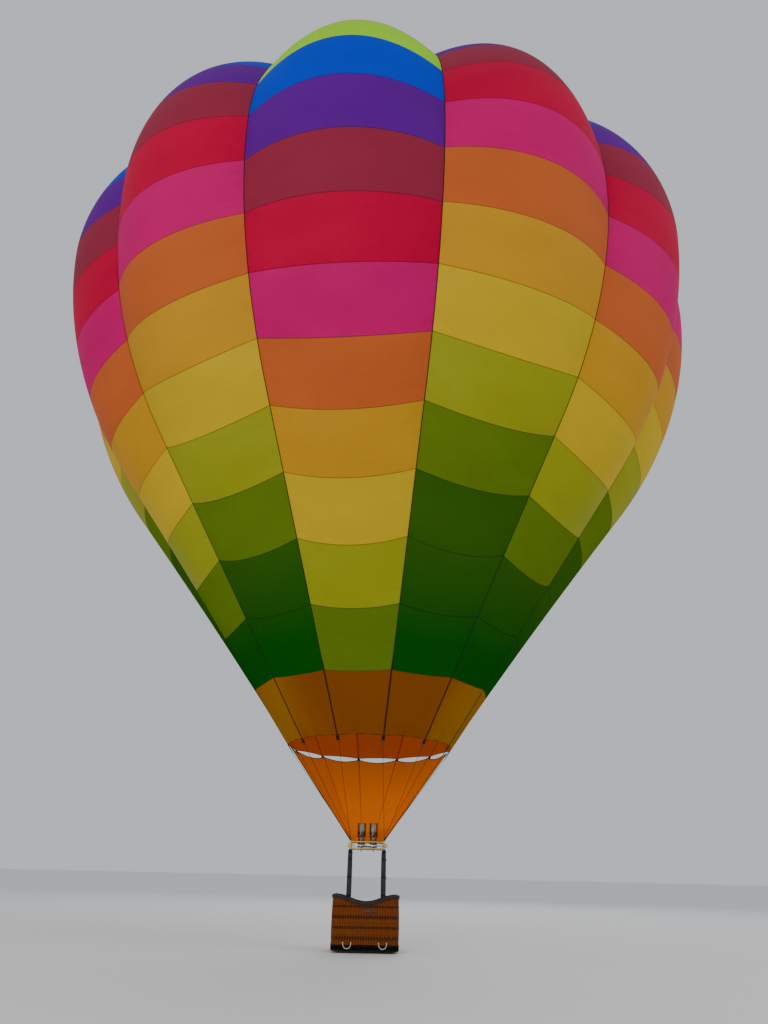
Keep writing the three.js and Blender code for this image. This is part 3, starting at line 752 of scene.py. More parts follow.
envelope = {
    "gores": 12, "frontAngle": -6.5, "mouthHeight": 4.27, "coneAngle": 35, "lowerArc": 10.0,
    "equatorRadius": 8.23, "equatorHeight": 16.35, "shoulderRadius": 5.2, "shoulderSpan": 49.5,
    "billow": 0.43, "billowGrowth": 0.65, "firstRow": 1.51, "rowTaper": 0.0265, "rows": 18, "ventHem": 0.3,
    "liftHeight": 14.5, "columns": 32, "stepsPerRow": 10, "clothThickness": 0.004, "pucker": 0.006,
    "puckerReach": 0.35, "puckerPitch": 0.42, "rowSag": 0.12, "seamGap": 0.0003, "inset": 0.0005,
    "mapShift": 7.3, "arcGrowth": 1.12,
}

goreStep = 2 * pi / envelope["gores"]
halfGore = goreStep / 2
coneAngle = radians(envelope["coneAngle"])
shoulderSpan = radians(envelope["shoulderSpan"])
coneTopRadius = envelope["equatorRadius"] - envelope["lowerArc"] * (1 - cos(coneAngle))
coneTopHeight = envelope["equatorHeight"] - envelope["lowerArc"] * sin(coneAngle)
coneLength = (coneTopHeight - envelope["mouthHeight"]) / cos(coneAngle)
mouthRadius = coneTopRadius - coneLength * sin(coneAngle)
equatorLength = coneLength + envelope["lowerArc"] * coneAngle
shoulderLength = equatorLength + envelope["shoulderRadius"] * shoulderSpan
shoulderEndRadius = envelope["equatorRadius"] - envelope["shoulderRadius"] * (1 - cos(shoulderSpan))
shoulderEndHeight = envelope["equatorHeight"] + envelope["shoulderRadius"] * sin(shoulderSpan)
crownRadius = shoulderEndRadius / cos(shoulderSpan)
crownCentre = shoulderEndHeight - crownRadius * sin(shoulderSpan)


# Heights are given above the ground, and the origin is at the centre of lift
def levelled(x, y, height):
    return Vector((x, y, height - envelope["liftHeight"]))


def placed(x, y, height, turn=Matrix()):
    return Matrix.Translation(levelled(x, y, height)) @ turn


def seamLine(length):
    if length < coneLength:
        normal = (cos(coneAngle), -sin(coneAngle))
        return (mouthRadius + length * sin(coneAngle),
                envelope["mouthHeight"] + length * cos(coneAngle), normal)
    if length < shoulderLength:
        radius = envelope["lowerArc"] if length < equatorLength else envelope["shoulderRadius"]
        angle = (length - equatorLength) / radius
        centre = (envelope["equatorRadius"] - radius, envelope["equatorHeight"])
    else:
        radius = crownRadius
        angle = shoulderSpan + (length - shoulderLength) / crownRadius
        centre = (0, crownCentre)
    normal = (cos(angle), sin(angle))
    return centre[0] + radius * normal[0], centre[1] + radius * normal[1], normal


def goreWidth(length):
    return 2 * seamLine(length)[0] * sin(halfGore)


def rowTop(row):
    return row * envelope["firstRow"] - envelope["rowTaper"] * row * (row - 1) / 2


ventLength = rowTop(envelope["rows"])
hemLength = ventLength - envelope["ventHem"]
bandTop = rowTop(1) - envelope["seamGap"]


def crownLength(radius):
    return shoulderLength + crownRadius * (acos(radius / crownRadius) - shoulderSpan)


def billow(length):
    radius, height, _ = seamLine(length)
    halfChord = radius * sin(halfGore)
    if length <= equatorLength:
        rise = (height - envelope["mouthHeight"]) / (envelope["equatorHeight"] - envelope["mouthHeight"])
        return halfChord * envelope["billow"] * max(0, rise) ** envelope["billowGrowth"]
    fade = min(1, max(0, (length - shoulderLength) / (hemLength - shoulderLength)))
    return halfChord * envelope["billow"] * (1 - fade * fade)


def clothPoint(centreAngle, across, length, inward=0.0, swell=None):
    radius, height, normal = seamLine(length)
    radius -= inward * normal[0]
    stand = (billow(length) if swell is None else swell) * (1 - across * across)
    out = radius * cos(halfGore) + stand * normal[0]
    side = (radius * sin(halfGore) - envelope["seamGap"] / 2) * across
    z = height - inward * normal[1] + stand * normal[1] - envelope["liftHeight"]
    sine, cosine = sin(centreAngle), cos(centreAngle)
    return Vector((out * sine + side * cosine, -out * cosine + side * sine, z))


def goreAngle(index):
    return radians(envelope["frontAngle"]) + index * goreStep


def seamAngle(seam):
    return radians(envelope["frontAngle"]) + halfGore + seam * goreStep


def seamPlace(seam, radius, height):
    angle = seamAngle(seam)
    return levelled(radius * sin(angle), -radius * cos(angle), height)


# Colours climb each gore in one order, and each gore starts at its own place in it

palette = [
    ("clothRoyal", (0.0, 0.031, 0.437)),
    ("clothPurple", (0.081, 0.0, 0.188)),
    ("clothMaroon", (0.212, 0.016, 0.039)),
    ("clothRed", (0.380, 0.0, 0.031)),
    ("clothPink", (0.424, 0.002, 0.103)),
    ("clothOrange", (0.408, 0.085, 0.019)),
    ("clothAmber", (0.434, 0.213, 0.012)),
    ("clothYellow", (0.450, 0.302, 0.012)),
    ("clothLime", (0.237, 0.245, 0.016)),
    ("clothOlive", (0.0895, 0.1465, 0.0085)),
    ("clothForest", (0.0275, 0.084, 0.005)),
]
paleLime = ("clothPaleLime", (0.239, 0.528, 0.006))
crownRows = ["clothPaleLime"] + [name for name, _ in palette[7:0:-1]]
goreSums = [11, 14, 13, 14, 12, 13, 11, 14, 13, 14, 12, 13]

clothes = {name: clothMaterial(name, colour, gloss=0.0 if name == "clothOlive" else 0.04)
           for name, colour in palette[:-1] + [paleLime]}
clothes["clothForest"] = clothMaterial(*palette[-1], gloss=0.0, lowColour=(0.0005, 0.063, 0.002))


def rowCloth(goreSum, row):
    index = goreSum - row
    return crownRows[-index - 1] if index < 0 else palette[min(index, len(palette) - 1)][0]


def pucker(across, length, width, seed):
    nearSeam = (1 - abs(across)) * width / 2 / envelope["puckerReach"]
    if nearSeam >= 1:
        return 0.0
    wave = sin(2 * pi * length / envelope["puckerPitch"] + seed + 1.7 * sin(length * 1.3 + seed))
    return envelope["pucker"] * (1 - nearSeam) ** 2 * nearSeam * 4 * wave


def makeGore(index):
    steps, columns, rows = envelope["stepsPerRow"], envelope["columns"], range(2, envelope["rows"] + 1)
    stations = [(rowTop(row - 1) + (rowTop(row) - rowTop(row - 1)) * step / steps, row - 1 + step / steps)
                for row in rows for step in range(steps)] + [(ventLength, envelope["rows"])]
    stations[0] = (stations[0][0] + envelope["seamGap"], 1)

    def place(_, i, j):
        length, row = stations[i]
        width, across = goreWidth(length), 2 * j / columns - 1
        sag = envelope["rowSag"] * min(1, (row - 1) / 2, max(0, 14 - row) / 4) * (1 - across * across)
        inward = envelope["inset"] + pucker(across, length, width, index + (across > 0) * 2.1)
        return (clothPoint(goreAngle(index), across, length - sag, inward),
                (across * width / 2 + index * envelope["mapShift"], length), (across / 2 + 0.5, row))

    names = sorted({rowCloth(goreSums[index], row) for row in rows})
    faceMaterials = [names.index(rowCloth(goreSums[index], row))
                     for row in rows for _ in range(steps * columns)]
    piece, area = clothPiece(f"gore_cloth_{index + 1:02d}", panelGrid(1, len(stations) - 1, columns, place),
                             [clothes[name] for name in names], envelope["clothThickness"], 0, faceMaterials)
    node = f"gore_{index + 1:02d}"
    seat(piece, [node])


print("envelope cloth")
for goreIndex in range(envelope["gores"]):
    makeGore(goreIndex)


# Load tapes: a folded strip over each seam, wider over the mouth band

tapes = {
    "halfWidth": 0.008, "bandHalfWidth": 0.017, "narrowing": 0.25, "lift": 0.0012, "thickness": 0.0022,
    "stepsPerRow": 4,
}


def seamStrip(index, length, halfWidth, lift):
    aside = 2 * halfWidth / goreWidth(length)
    left, right = goreAngle(index), goreAngle(index + 1)
    return [clothPoint(left, 1 - aside, length, -lift), clothPoint(left, 1, length, -lift),
            clothPoint(right, -1 + aside, length, -lift)]


def makeLoadTapes():
    shape = Shape()
    steps = tapes["stepsPerRow"]
    lengths = [rowTop(row) + (rowTop(row + 1) - rowTop(row)) * step / steps
               for row in range(envelope["rows"]) for step in range(steps)] + [ventLength]
    for index in range(envelope["gores"]):
        rings = []
        for length in lengths:
            fade = min(1, max(0, (length - rowTop(1)) / tapes["narrowing"]))
            halfWidth = tapes["bandHalfWidth"] + (tapes["halfWidth"] - tapes["bandHalfWidth"]) * fade
            outer = seamStrip(index, length, halfWidth, tapes["lift"] + tapes["thickness"])
            inner = seamStrip(index, length, halfWidth, tapes["lift"])
            rings.append(outer + inner[::-1])
        shape.loft(rings[:steps + 1], 1)
        shape.loft(rings[steps:])
    seat(shape.make("load_tapes", [tapeBlack, tapeBrown], uv="weave"))


makeLoadTapes()


# Mouth band: twelve panels in one, with a corded hem

band = {
    "columns": 16, "rows": 14, "thickness": 0.004, "hemRadius": 0.006, "hemInset": 0.004, "hemRise": 0.001,
    "gather": 0.005, "arch": 0.03,
}

# The band's side panels take painted backlight where they are seen edge-on
bandCloth = clothMaterial("bandCloth", (0.188, 0.050, 0.0005), seamColour=(0.030, 0.006, 0.004), gloss=0.0,
                          backlitEdgeColour=(0.245, 0.104, 0.006))
# The band's inside glows strongly: painted light in place of the light it would get through the cloth
bandInside = clothMaterial("bandInside", (0.335, 0.057, 0.006), paintedGlow=0.6, seamColour=(0.07, 0.014, 0.003),
                           seamHalf=0.018)


def makeMouthBand():
    rows, columns = band["rows"], band["columns"]

    def place(index, i, j):
        across = 2 * j / columns - 1
        arch = band["arch"] * (1 - across * across)
        length = arch + (bandTop - arch) * i / rows
        gather = band["gather"] * (1 - across * across) * (1 - i / rows) ** 2 * cos(across * 9 + index)
        return (clothPoint(goreAngle(index), across, length, envelope["inset"] + gather),
                (across * goreWidth(bandTop * i / rows) / 2 + index * envelope["mapShift"], length),
                (j / columns, index + j / columns))

    piece, area = clothPiece("mouth_band_cloth", panelGrid(envelope["gores"], rows, columns, place),
                             [bandCloth, bandInside], band["thickness"], 1)
    seat(piece, ["mouth_band"])
    hem = Shape()
    shares = [2 * j / columns - 1 for j in range(columns)]
    path = [clothPoint(goreAngle(index), share, band["hemRise"] + band["arch"] * (1 - share * share),
                       band["hemInset"]) for index in range(envelope["gores"]) for share in shares]
    hem.sweep(path, circle(band["hemRadius"], 8), closed=True, side=(0, 0, 1))
    hemPiece = seat(hem.make("mouth_hem", [tapeBrown], uv="weave"))


makeMouthBand()


# Vent panel and the tapes that hold it down

vent = {
    "overlap": 0.25, "under": 0.0125, "thickness": 0.004, "columns": 8, "tapeHalf": 0.02, "tapeLap": 0.11,
    "tapeThickness": 0.003, "tapeLift": 0.001, "ringOuter": 0.19, "ringInner": 0.14, "ringThickness": 0.016,
    "ringTop": 8.1823, "loopClear": 0.003, "loopHalfHeight": 0.0095, "loopWidth": 0.9,
}
ventRadius = seamLine(ventLength)[0]
ventShares = [0.97, 0.9, 0.8, 0.7, 0.6, 0.5, 0.4, 0.3, 0.2, 0.12, 0.055]


def lapPoint(centre, across, lap, inward):
    top = clothPoint(centre, across, ventLength, inward, 0)
    return top.lerp(clothPoint(centre, across, hemLength, inward, 0), lap / envelope["ventHem"])


def makeVentPanel():
    columns, under = vent["columns"], vent["under"]
    laps = [vent["overlap"] * (1 - i / 4) for i in range(5)]
    radii = [ventRadius * share for share in ventShares + [0.0001]]

    def place(index, i, j):
        angle, across = goreAngle(index), 2 * j / columns - 1
        if i < len(laps):
            point = lapPoint(angle, across, laps[i], under)
        else:
            point = clothPoint(angle, across, crownLength(radii[i - len(laps)]), under, 0)
        reach = hypot(point.x, point.y)
        return point, (across * reach * 0.26 + index * 3.1, reach), (j / columns, reach / 1.3 + 0.3)

    grid = panelGrid(envelope["gores"], len(laps) + len(radii) - 1, columns, place)
    piece, area = clothPiece("vent_panel_cloth", grid, [clothes["clothPaleLime"]], vent["thickness"])
    seat(piece, ["parachute_valve"], "valve")


def makeCrownTapes():
    shape = Shape()
    width, lift = 2 * vent["tapeHalf"], vent["tapeLift"]
    top, bottom = vent["ringTop"], vent["ringTop"] - vent["ringThickness"]
    inner, outer = vent["ringInner"], vent["ringOuter"]
    halfWidth = (outer - inner) / 2 + vent["loopClear"]
    for index in range(envelope["gores"]):
        gore = goreAngle(index)
        line = [lapPoint(gore, -1, vent["tapeLap"] * (1 - i / 3), -lift) for i in range(4)]
        line += [clothPoint(gore, -1, crownLength(ventRadius * share), -lift, 0) for share in ventShares[1:]]
        shape.strap([point + raised(vent["tapeThickness"] / 2) for point in line], width, vent["tapeThickness"],
                    heading(gore - halfGore))
        out = outFrom(line[-1])
        middle = out * ((outer + inner) / 2) + raised(top - vent["ringThickness"] / 2)
        loop = [middle + out * halfWidth * cos(angle) + raised(vent["loopHalfHeight"] * sin(angle))
                for angle in around(20)]
        shape.strap(loop, vent["tapeThickness"], width * vent["loopWidth"], (0, 0, 1), closed=True)
    ring = Shape()
    ring.turn([(inner, bottom), (outer, bottom), (outer, top), (inner, top), (inner, bottom)], sides=96)
    seat(ring.make("crown_ring_alloy", [alloy], bevel=0.004))
    seat(shape.make("crown_tape_straps", [tapeBlack], uv="weave"), ["crown_tapes"])


makeVentPanel()
makeCrownTapes()


# Scoop: six panels that gather towards the frame, with a hem and a tab at each top

scoop = {
    "panels": 6, "columns": 16, "rows": 26, "thickness": 0.004, "flatHeight": 2.3, "frameHalf": 0.38,
    "cornerCut": 0.12, "footHeight": 2.1943, "topInset": 0.046, "topDrop": 0.045, "scallop": 0.098,
    "tabWidth": 0.07, "tabThickness": 0.005, "firstSeam": -3, "fold": 0.016, "foldsPerPanel": 3,
    "foldBase": 0.004, "hemWidth": 0.022, "hemThickness": 0.007, "footHemShare": 0.992,
    "footHemThickness": 0.01,
}

# The scoop glows: painted light for daylight shining through its cloth
scoopCloth = clothMaterial("scoopCloth", (0.515, 0.115, 0.004), paintedGlow=0.45, seamColour=(0.035, 0.004, 0.001),
                           seamHalf=0.015)


def scoopEnds():
    edge, cut = scoop["frameHalf"], scoop["cornerCut"]
    front, corner, third = cut - edge, edge - cut / 2, edge / 3
    feet = [levelled(x, y, scoop["footHeight"]) for x, y in (
        (-edge, front), (-edge, 0), (-corner, corner), (-third, edge), (third, edge), (corner, corner),
        (edge, front))]
    radius = mouthRadius - scoop["topInset"] - scoop["topDrop"] * tan(coneAngle)
    tops = [seamPlace(scoop["firstSeam"] - k, radius, envelope["mouthHeight"] - scoop["topDrop"])
            for k in range(scoop["panels"] + 1)]
    return tops, feet


scoopTops, scoopFeet = scoopEnds()


def scoopPoint(k, t, share, inward=0.0):
    top, foot = scoopTops[k].lerp(scoopTops[k + 1], t), scoopFeet[k].lerp(scoopFeet[k + 1], t)
    down = (foot - top).normalized()
    top += down * scoop["scallop"] * 4 * t * (1 - t)
    point = top.lerp(foot, share)
    wave = sin(pi * scoop["foldsPerPanel"] * 2 * t + k * 1.9) * sin(pi * t) ** 0.5
    ease = sin(pi * min(1, share * 1.04)) * 0.45 + share ** 3 * (1 - share) * 2.2
    return point - outFrom(point) * (inward + scoop["foldBase"] + scoop["fold"] * ease * wave)


def makeScoop():
    columns, rows, last = scoop["columns"], scoop["rows"], scoop["panels"] - 1

    def place(k, i, j):
        t, share = j / columns, i / rows
        width = (scoopPoint(k, 1, share) - scoopPoint(k, 0, share)).length
        return scoopPoint(k, t, share), ((t - 0.5) * width + k * 3.7, share * 2.1), (t, k + t)

    piece, area = clothPiece("scoop_cloth", panelGrid(scoop["panels"], rows, columns, place), [scoopCloth],
                             scoop["thickness"])
    seat(piece, ["scoop"])
    trim = Shape()
    half = scoop["thickness"] / 2

    def level(share):
        return [scoopPoint(k, j / columns, share, half) for k in range(scoop["panels"])
                for j in range(columns)] + [scoopPoint(last, 1, share, half)]

    line = [scoopPoint(0, 0, i / rows, half) for i in range(rows, 0, -1)] + level(0)
    line += [scoopPoint(last, 1, i / rows, half) for i in range(1, rows + 1)]
    trim.strap(line, scoop["hemThickness"], scoop["hemWidth"], outFrom(line[0]))
    trim.strap(level(scoop["footHemShare"]), scoop["footHemThickness"], scoop["hemWidth"], (-1, 0, 0))
    for k, topPoint in enumerate(scoopTops):
        panel, t = (k, 0) if k <= last else (last, 1)
        head, lower = topPoint + raised(0.003), scoopPoint(panel, t, 0.05, half)
        out = outFrom(head)
        tie = seamPlace(scoop["firstSeam"] - k, mouthRadius - 0.016, envelope["mouthHeight"] - 0.006)
        trim.strap([tie, head + out * 0.006, head.lerp(lower, 0.5) + out * 0.008, lower + out * 0.006],
                   scoop["tabWidth"], scoop["tabThickness"], (-out.y, out.x, 0))
    trimPiece = seat(trim.make("scoop_hem_and_tabs", [tapeBlack], uv="weave"))


makeScoop()


# Flying wires: three cables to each corner of the burner frame, each from a folded tape and a karabiner

wires = {
    "cable": 0.0042, "cableSides": 10, "loopWidth": 0.066, "loopThickness": 0.003, "loopLength": 0.1,
    "seams": (0.2, 0.32), "karabiner": 0.023, "karabinerStretch": 2.0, "karabinerWire": 0.0066,
    "gateHalf": 0.016, "ferrule": 0.0085, "ferruleLength": 0.035, "thimble": 0.011, "thimbleWire": 0.0032,
    "edgeGap": 0.006, "postTop": 2.2, "shackle": 0.017, "shackleWire": 0.006,
}

wireCable = webbing("wireCable", (0.012, 0.010, 0.010), rib=0.004, roughness=0.6)
frameCorners = [("front_right", 1, -1), ("rear_right", 1, 1), ("rear_left", -1, 1), ("front_left", -1, -1)]


def makeWire(shape, seam, foot):
    angle = seamAngle(seam)
    out, aside = Vector((sin(angle), -cos(angle), 0)), heading(angle)
    rise = out * sin(coneAngle) + raised(cos(coneAngle))
    top = seamPlace(seam, mouthRadius - 0.004, envelope["mouthHeight"]) - rise * wires["edgeGap"]
    normal = aside.cross(rise)
    low = top - rise * wires["loopLength"]
    half = wires["karabinerWire"] + wires["loopThickness"] / 2
    loop = [top + normal * 0.002, low + normal * half]
    loop += [low - rise * half * sin(t) + normal * half * cos(t) for t in (0.5, 1.0, 1.57, 2.1, 2.6)]
    loop += [low - normal * half, top - normal * 0.002]
    shape.strap(loop, wires["loopWidth"], wires["loopThickness"], aside, 1)
    for share in wires["seams"]:
        shape.strap([top - rise * wires["loopLength"] * share + aside * end * wires["loopWidth"] * 0.42
                     for end in (-1, 1)], 0.004, 0.0145, rise, 1)
    width, stretch, wire = wires["karabiner"], wires["karabinerStretch"], wires["karabinerWire"]
    centre = low - rise * (width * stretch - wire)
    shape.ring(centre, normal, width, wire, 2, 36, 10, stretch, rise)
    gate = centre + aside * width
    shape.rod(gate - rise * wires["gateHalf"], gate + rise * wires["gateHalf"], wire * 1.35, 2, 14)
    thimble, ferrule = wires["thimble"], wires["ferruleLength"]
    eye = centre - rise * (width * stretch + thimble * 0.2)
    run = (foot - eye).normalized()
    shape.ring(eye + run * thimble * 0.6, aside, thimble, wires["thimbleWire"], 2, 20, 8, 1.5, run)
    neck, end = eye + run * thimble * 2.3, foot - run * (wires["shackle"] + 0.012)
    shape.rod(neck, neck + run * ferrule, wires["ferrule"], 2)
    shape.sweep([neck.lerp(end, i / 24) for i in range(25)], circle(wires["cable"], wires["cableSides"]))
    shape.rod(end - run * ferrule, end, wires["ferrule"], 2)
    shape.ring(foot - run * wires["shackle"] * 0.9, run.cross((0, 0, 1)), thimble, wires["thimbleWire"],
               2, 20, 8, 1.5, run)


def makeWires(index, corner, x, y):
    shape = Shape()
    foot = levelled(x * scoop["frameHalf"], y * scoop["frameHalf"], wires["postTop"] + wires["shackle"] + 0.004)
    for seam in range(3 * index, 3 * index + 3):
        makeWire(shape, seam, foot)
    shape.ring(foot, (x, y, 0), wires["shackle"], wires["shackleWire"], 2, 28, 12)
    shape.solid([(0.016, -0.003), (0.016, 0.002), (0.011, 0.009)], foot - raised(wires["shackle"]), 24, 2)
    piece = shape.make(f"flying_wire_cables_{corner}", [wireCable, tapeBlack, darkMetal], uv="weave")
    seat(piece, [f"flying_wires_{corner}"])


for cornerIndex, frameCorner in enumerate(frameCorners):
    makeWires(cornerIndex, *frameCorner)
print("rigging made")


# Burner frame: two square rails on corner posts, bearing plates for the gimbal, plates for the tethers

rails = {
    "lower": 2.04, "upper": 2.18, "radius": 0.014, "postRadius": 0.022, "postEdge": 0.005, "overrun": 0.02,
    "gimbalHeight": 2.11, "plateThickness": 0.012, "plateHalfHeight": 0.07, "plateWidth": 0.07,
    "plateCorner": 0.012, "boss": 0.02, "bossShift": 0.0045, "lugLength": 0.06, "lugHeight": 0.07,
    "lugCorner": 0.02, "lugThickness": 0.012, "lugClear": 0.024, "lugHole": 0.015, "pinHole": 0.0092,
    "sleeve": 0.0185, "sleeveLength": 0.05, "weld": 0.0028, "postWeld": 0.0022, "postWeldRise": 0.019,
}

railPaint = metal("railPaint", (0.56, 0.42, 0.12), 0.36, 0.55)


def makeBurnerFrame():
    shape = Shape()
    half, radius, cap = scoop["frameHalf"], rails["postRadius"], rails["postEdge"]
    levels, middle = (rails["lower"], rails["upper"]), rails["gimbalHeight"]
    for height in levels:
        for turn in range(4):
            spin = Matrix.Rotation(turn * pi / 2, 3, "Z")

            def along(x):
                return spin @ levelled(x, -half, height)

            shape.rod(along(-half), along(half), rails["radius"], 0, 24)
            for end in (-1, 1):
                face = end * (half - radius)
                shape.rod(along(face), along(face - end * rails["sleeveLength"]), rails["sleeve"], 0, 24)
                shape.ring(along(face), spin @ Vector((1, 0, 0)), rails["sleeve"], rails["weld"], 0, 24, 8)
    low, high = rails["lower"] - rails["overrun"], rails["upper"] + rails["overrun"]
    for x in (-half, half):
        for y in (-half, half):
            shape.solid([(radius - cap, low), (radius, low + cap), (radius, high - cap),
                         (radius - cap, high)], placed(x, y, 0))
            for height in levels:
                weld = levelled(x, y, height + rails["postWeldRise"])
                shape.ring(weld, (0, 0, 1), radius, rails["postWeld"], 0, 24, 6)
    bearing = squareReach(rails["plateHalfHeight"], rails["plateWidth"] / 2, rails["plateCorner"])
    lug = squareReach(rails["lugLength"] / 2, rails["lugHeight"] / 2, rails["lugCorner"])
    hole, thick = rails["pinHole"], rails["plateThickness"]
    for side in (-1, 1):
        shape.plate(placed(side * half, 0, middle, quarterY), bearing, hole, thick, 48)
        boss = placed(side * (half + rails["bossShift"]), 0, middle, quarterY)
        shape.plate(boss, lambda angle: rails["boss"], hole, thick * 0.9, 48)
        for end in (-1, 1):
            place = placed(side * (half + radius + rails["lugClear"]), end * half, middle, quarterX)
            shape.plate(place, lug, rails["lugHole"], rails["lugThickness"], 64)
    piece = shape.make("burner_frame_tubes", [railPaint], bevel=0.0008, sharp=40)
    seat(piece, ["burner_frame"])


def boltTemplate(radius, height):
    shape = Shape()
    flange, low, high = height * 0.25, height * 0.8, height * 1.25
    shape.solid([(radius * 1.35, 0), (radius * 1.35, flange), (radius * 1.1, flange)], sides=20)
    shape.solid([(radius, flange * 0.9), (radius, height)], sides=6)
    shape.solid([(radius * 0.5, low), (radius * 0.5, high)], sides=12)
    return shape.make("boltHead", [steel], bevel=radius * 0.06)


def makeFrameBolts():
    half = scoop["frameHalf"]
    face = half + rails["postRadius"] - 0.001
    places = []
    for side in (-1, 1):
        for y in (-0.024, 0.024):
            for height in (2.075, 2.145):
                places.append((levelled(side * (half + 0.006), y, height), (side, 0, 0), (0, 1, 0)))
        for end in (-1, 1):
            for height in (rails["lower"], rails["upper"]):
                places.append((levelled(side * face, end * half, height), (side, 0, 0), (0, 0, 1)))
                places.append((levelled(side * half, end * face, height), (0, end, 0), (0, 0, 1)))
    seat(scatter("burner_frame_bolts", places, boltTemplate(0.0055, 0.005), steel))


makeBurnerFrame()
makeFrameBolts()


# Gimbal ring

gimbal = {
    "halfX": 0.33, "halfY": 0.205, "bar": 0.022, "pin": 0.008, "pinEnd": 0.39, "hole": 0.0078, "eye": 0.019,
    "collarLow": 0.001, "collarHigh": 0.009, "collar": 1.9, "cornerSize": 1.1, "eyeWidth": 1.15,
}


def makeGimbal():
    shape = Shape()
    height, x, y, bar = rails["gimbalHeight"], gimbal["halfX"], gimbal["halfY"], gimbal["bar"]
    outer, inner = x + bar / 2, gimbal["eye"] * 0.8
    pin, collar = gimbal["pin"], gimbal["pin"] * gimbal["collar"]
    for end in (-1, 1):
        shape.plate(placed(0, end * y, height, quarterX), lambda angle: gimbal["eye"], gimbal["hole"],
                    bar * gimbal["eyeWidth"], 40)
        for side in (-1, 1):
            shape.box(levelled(side * (outer + inner) / 2, end * y, height), (outer - inner, bar, bar))
        shape.box(levelled(end * x, 0, height), (bar, 2 * y, bar))
        shape.rod(levelled(end * x, 0, height), levelled(end * gimbal["pinEnd"], 0, height), pin, 1, 28)
        shape.rod(levelled(end * (outer - gimbal["collarLow"]), 0, height),
                  levelled(end * (outer + gimbal["collarHigh"]), 0, height), collar, 1, 28)
        for side in (-1, 1):
            shape.box(levelled(side * x, end * y, height), (bar * gimbal["cornerSize"],) * 3)
    piece = shape.make("gimbal_ring_bars", [alloy, steel], bevel=0.0025, sharp=40)
    seat(piece, ["gimbal_ring"], "gimbal")


makeGimbal()


# Burner block: two valve bodies on one beam, with pilot valves, gauges and the blast levers

block = {
    "halfX": 0.225, "halfY": 0.062, "bottom": 2.07, "top": 2.14, "spacing": 0.276, "pin": 0.0065,
    "pinEnd": 0.22, "bodyWidth": 0.12, "endWidth": 0.032,
}

grip = plainMaterial("leverGrip", (0.45, 0.012, 0.010), 0.45, 80)
gaugeFace = plainMaterial("gaugeFace", (0.75, 0.75, 0.72), 0.35, 90, 0.04)
castBlock = metal("castBlock", (0.10, 0.10, 0.105), 0.5, 0.7, 0.5, (40, 40, 40))


def makeBurnerBlock():
    shape = Shape()
    bottom, top, halfX, halfY = block["bottom"], block["top"], block["halfX"], block["halfY"]
    middle = (bottom + top) / 2
    shape.box(levelled(0, 0, middle), (2 * halfX, 2 * halfY * 0.72, (top - bottom) * 0.86))
    for side in (-1, 1):
        x = side * block["spacing"] / 2
        shape.box(levelled(x, 0, middle), (block["bodyWidth"], 2 * halfY, top - bottom))
        shape.box(levelled(side * (halfX - block["endWidth"] / 2), 0, middle),
                  (block["endWidth"], 2 * halfY * 0.92, (top - bottom) * 0.94))
        for end in (-1, 1):
            turn = Matrix.Rotation(-end * pi / 2, 4, "X")
            port = placed(x + 0.035, end * (halfY - 0.002), middle + 0.006, turn)
            shape.solid([(0.014, 0), (0.014, 0.009), (0.0105, 0.012), (0.0105, 0.02)], port, 6, 2)
        gauge = placed(x - 0.02, -halfY + 0.003, middle + 0.004, quarterX)
        shape.turn([(0, 0), (0.024, 0), (0.024, 0.014), (0.0205, 0.016), (0.0205, 0.012)], gauge, 36, 2)
        shape.turn([(0.0207, 0.0125), (0, 0.0125)], gauge, 36, 3)
        shape.box(gauge @ Vector((0.003, 0.005, 0.0135)), (0.0016, 0.0012, 0.014), 1)
        high, low = levelled(x, -0.02, bottom + 0.01), levelled(x, -0.07, bottom - 0.088)
        run = (low - high).normalized()
        shape.rod(high, low - run * 0.05, 0.0062, 2)
        knee = high.lerp(low, 0.42)
        length = (low - knee).length
        lean = run.to_track_quat("Z", "Y").to_matrix().to_4x4()
        shape.solid([(0.0095, 0), (0.0112, 0.006), (0.0108, length * 0.5), (0.0112, length - 0.006),
                     (0.009, length)], Matrix.Translation(knee) @ lean, 24, 4)
        shape.solid([(0.017, -0.008), (0.019, 0.0), (0.013, 0.016)], Matrix.Translation(high) @ lean, 28, 0)
        shape.solid([(0.008, 0), (0.008, 0.010), (0.014, 0.012), (0.014, 0.024)],
                    levelled(x - 0.043, 0.022, top - 0.004), 20, 1)
    height = rails["gimbalHeight"]
    shape.rod(levelled(0, -block["pinEnd"], height), levelled(0, block["pinEnd"], height), block["pin"], 2, 28)
    for end in (-1, 1):
        shape.rod(levelled(0, end * 0.12, height), levelled(0, end * 0.185, height), 0.0125, 2, 24)
    materials = [castBlock, darkMetal, steel, gaugeFace, grip]
    piece = shape.make("burner_valve_block", materials, bevel=0.002, sharp=40)
    seat(piece, ["burner_block"], "burner")


makeBurnerBlock()


# Burner cans: a polished shroud over a slotted base with the fuel coil inside

can = {
    "base": 2.1403, "neckTop": 2.2903, "flangeTop": 2.3103, "shroudFoot": 2.345, "top": 2.585,
    "radius": 0.096, "lip": 0.104, "wall": 0.003, "slots": 12, "coilRadius": 0.081, "coilTube": 0.0078,
    "coilTurns": 9, "coilSteps": 26, "coilFoot": 0.022, "coilTop": 0.045, "neckRadius": 0.081,
    "jetRing": 0.036, "jets": 8, "studs": 4, "studRing": 0.064,
}

canSteel = metal("canSteel", (0.32, 0.265, 0.205), 0.24, scratch=0.15, stretch=(50, 50, 3))
heatedSteel = metal("heatedSteel", (0.15, 0.10, 0.065), 0.36, 0.9, scratch=0.3)


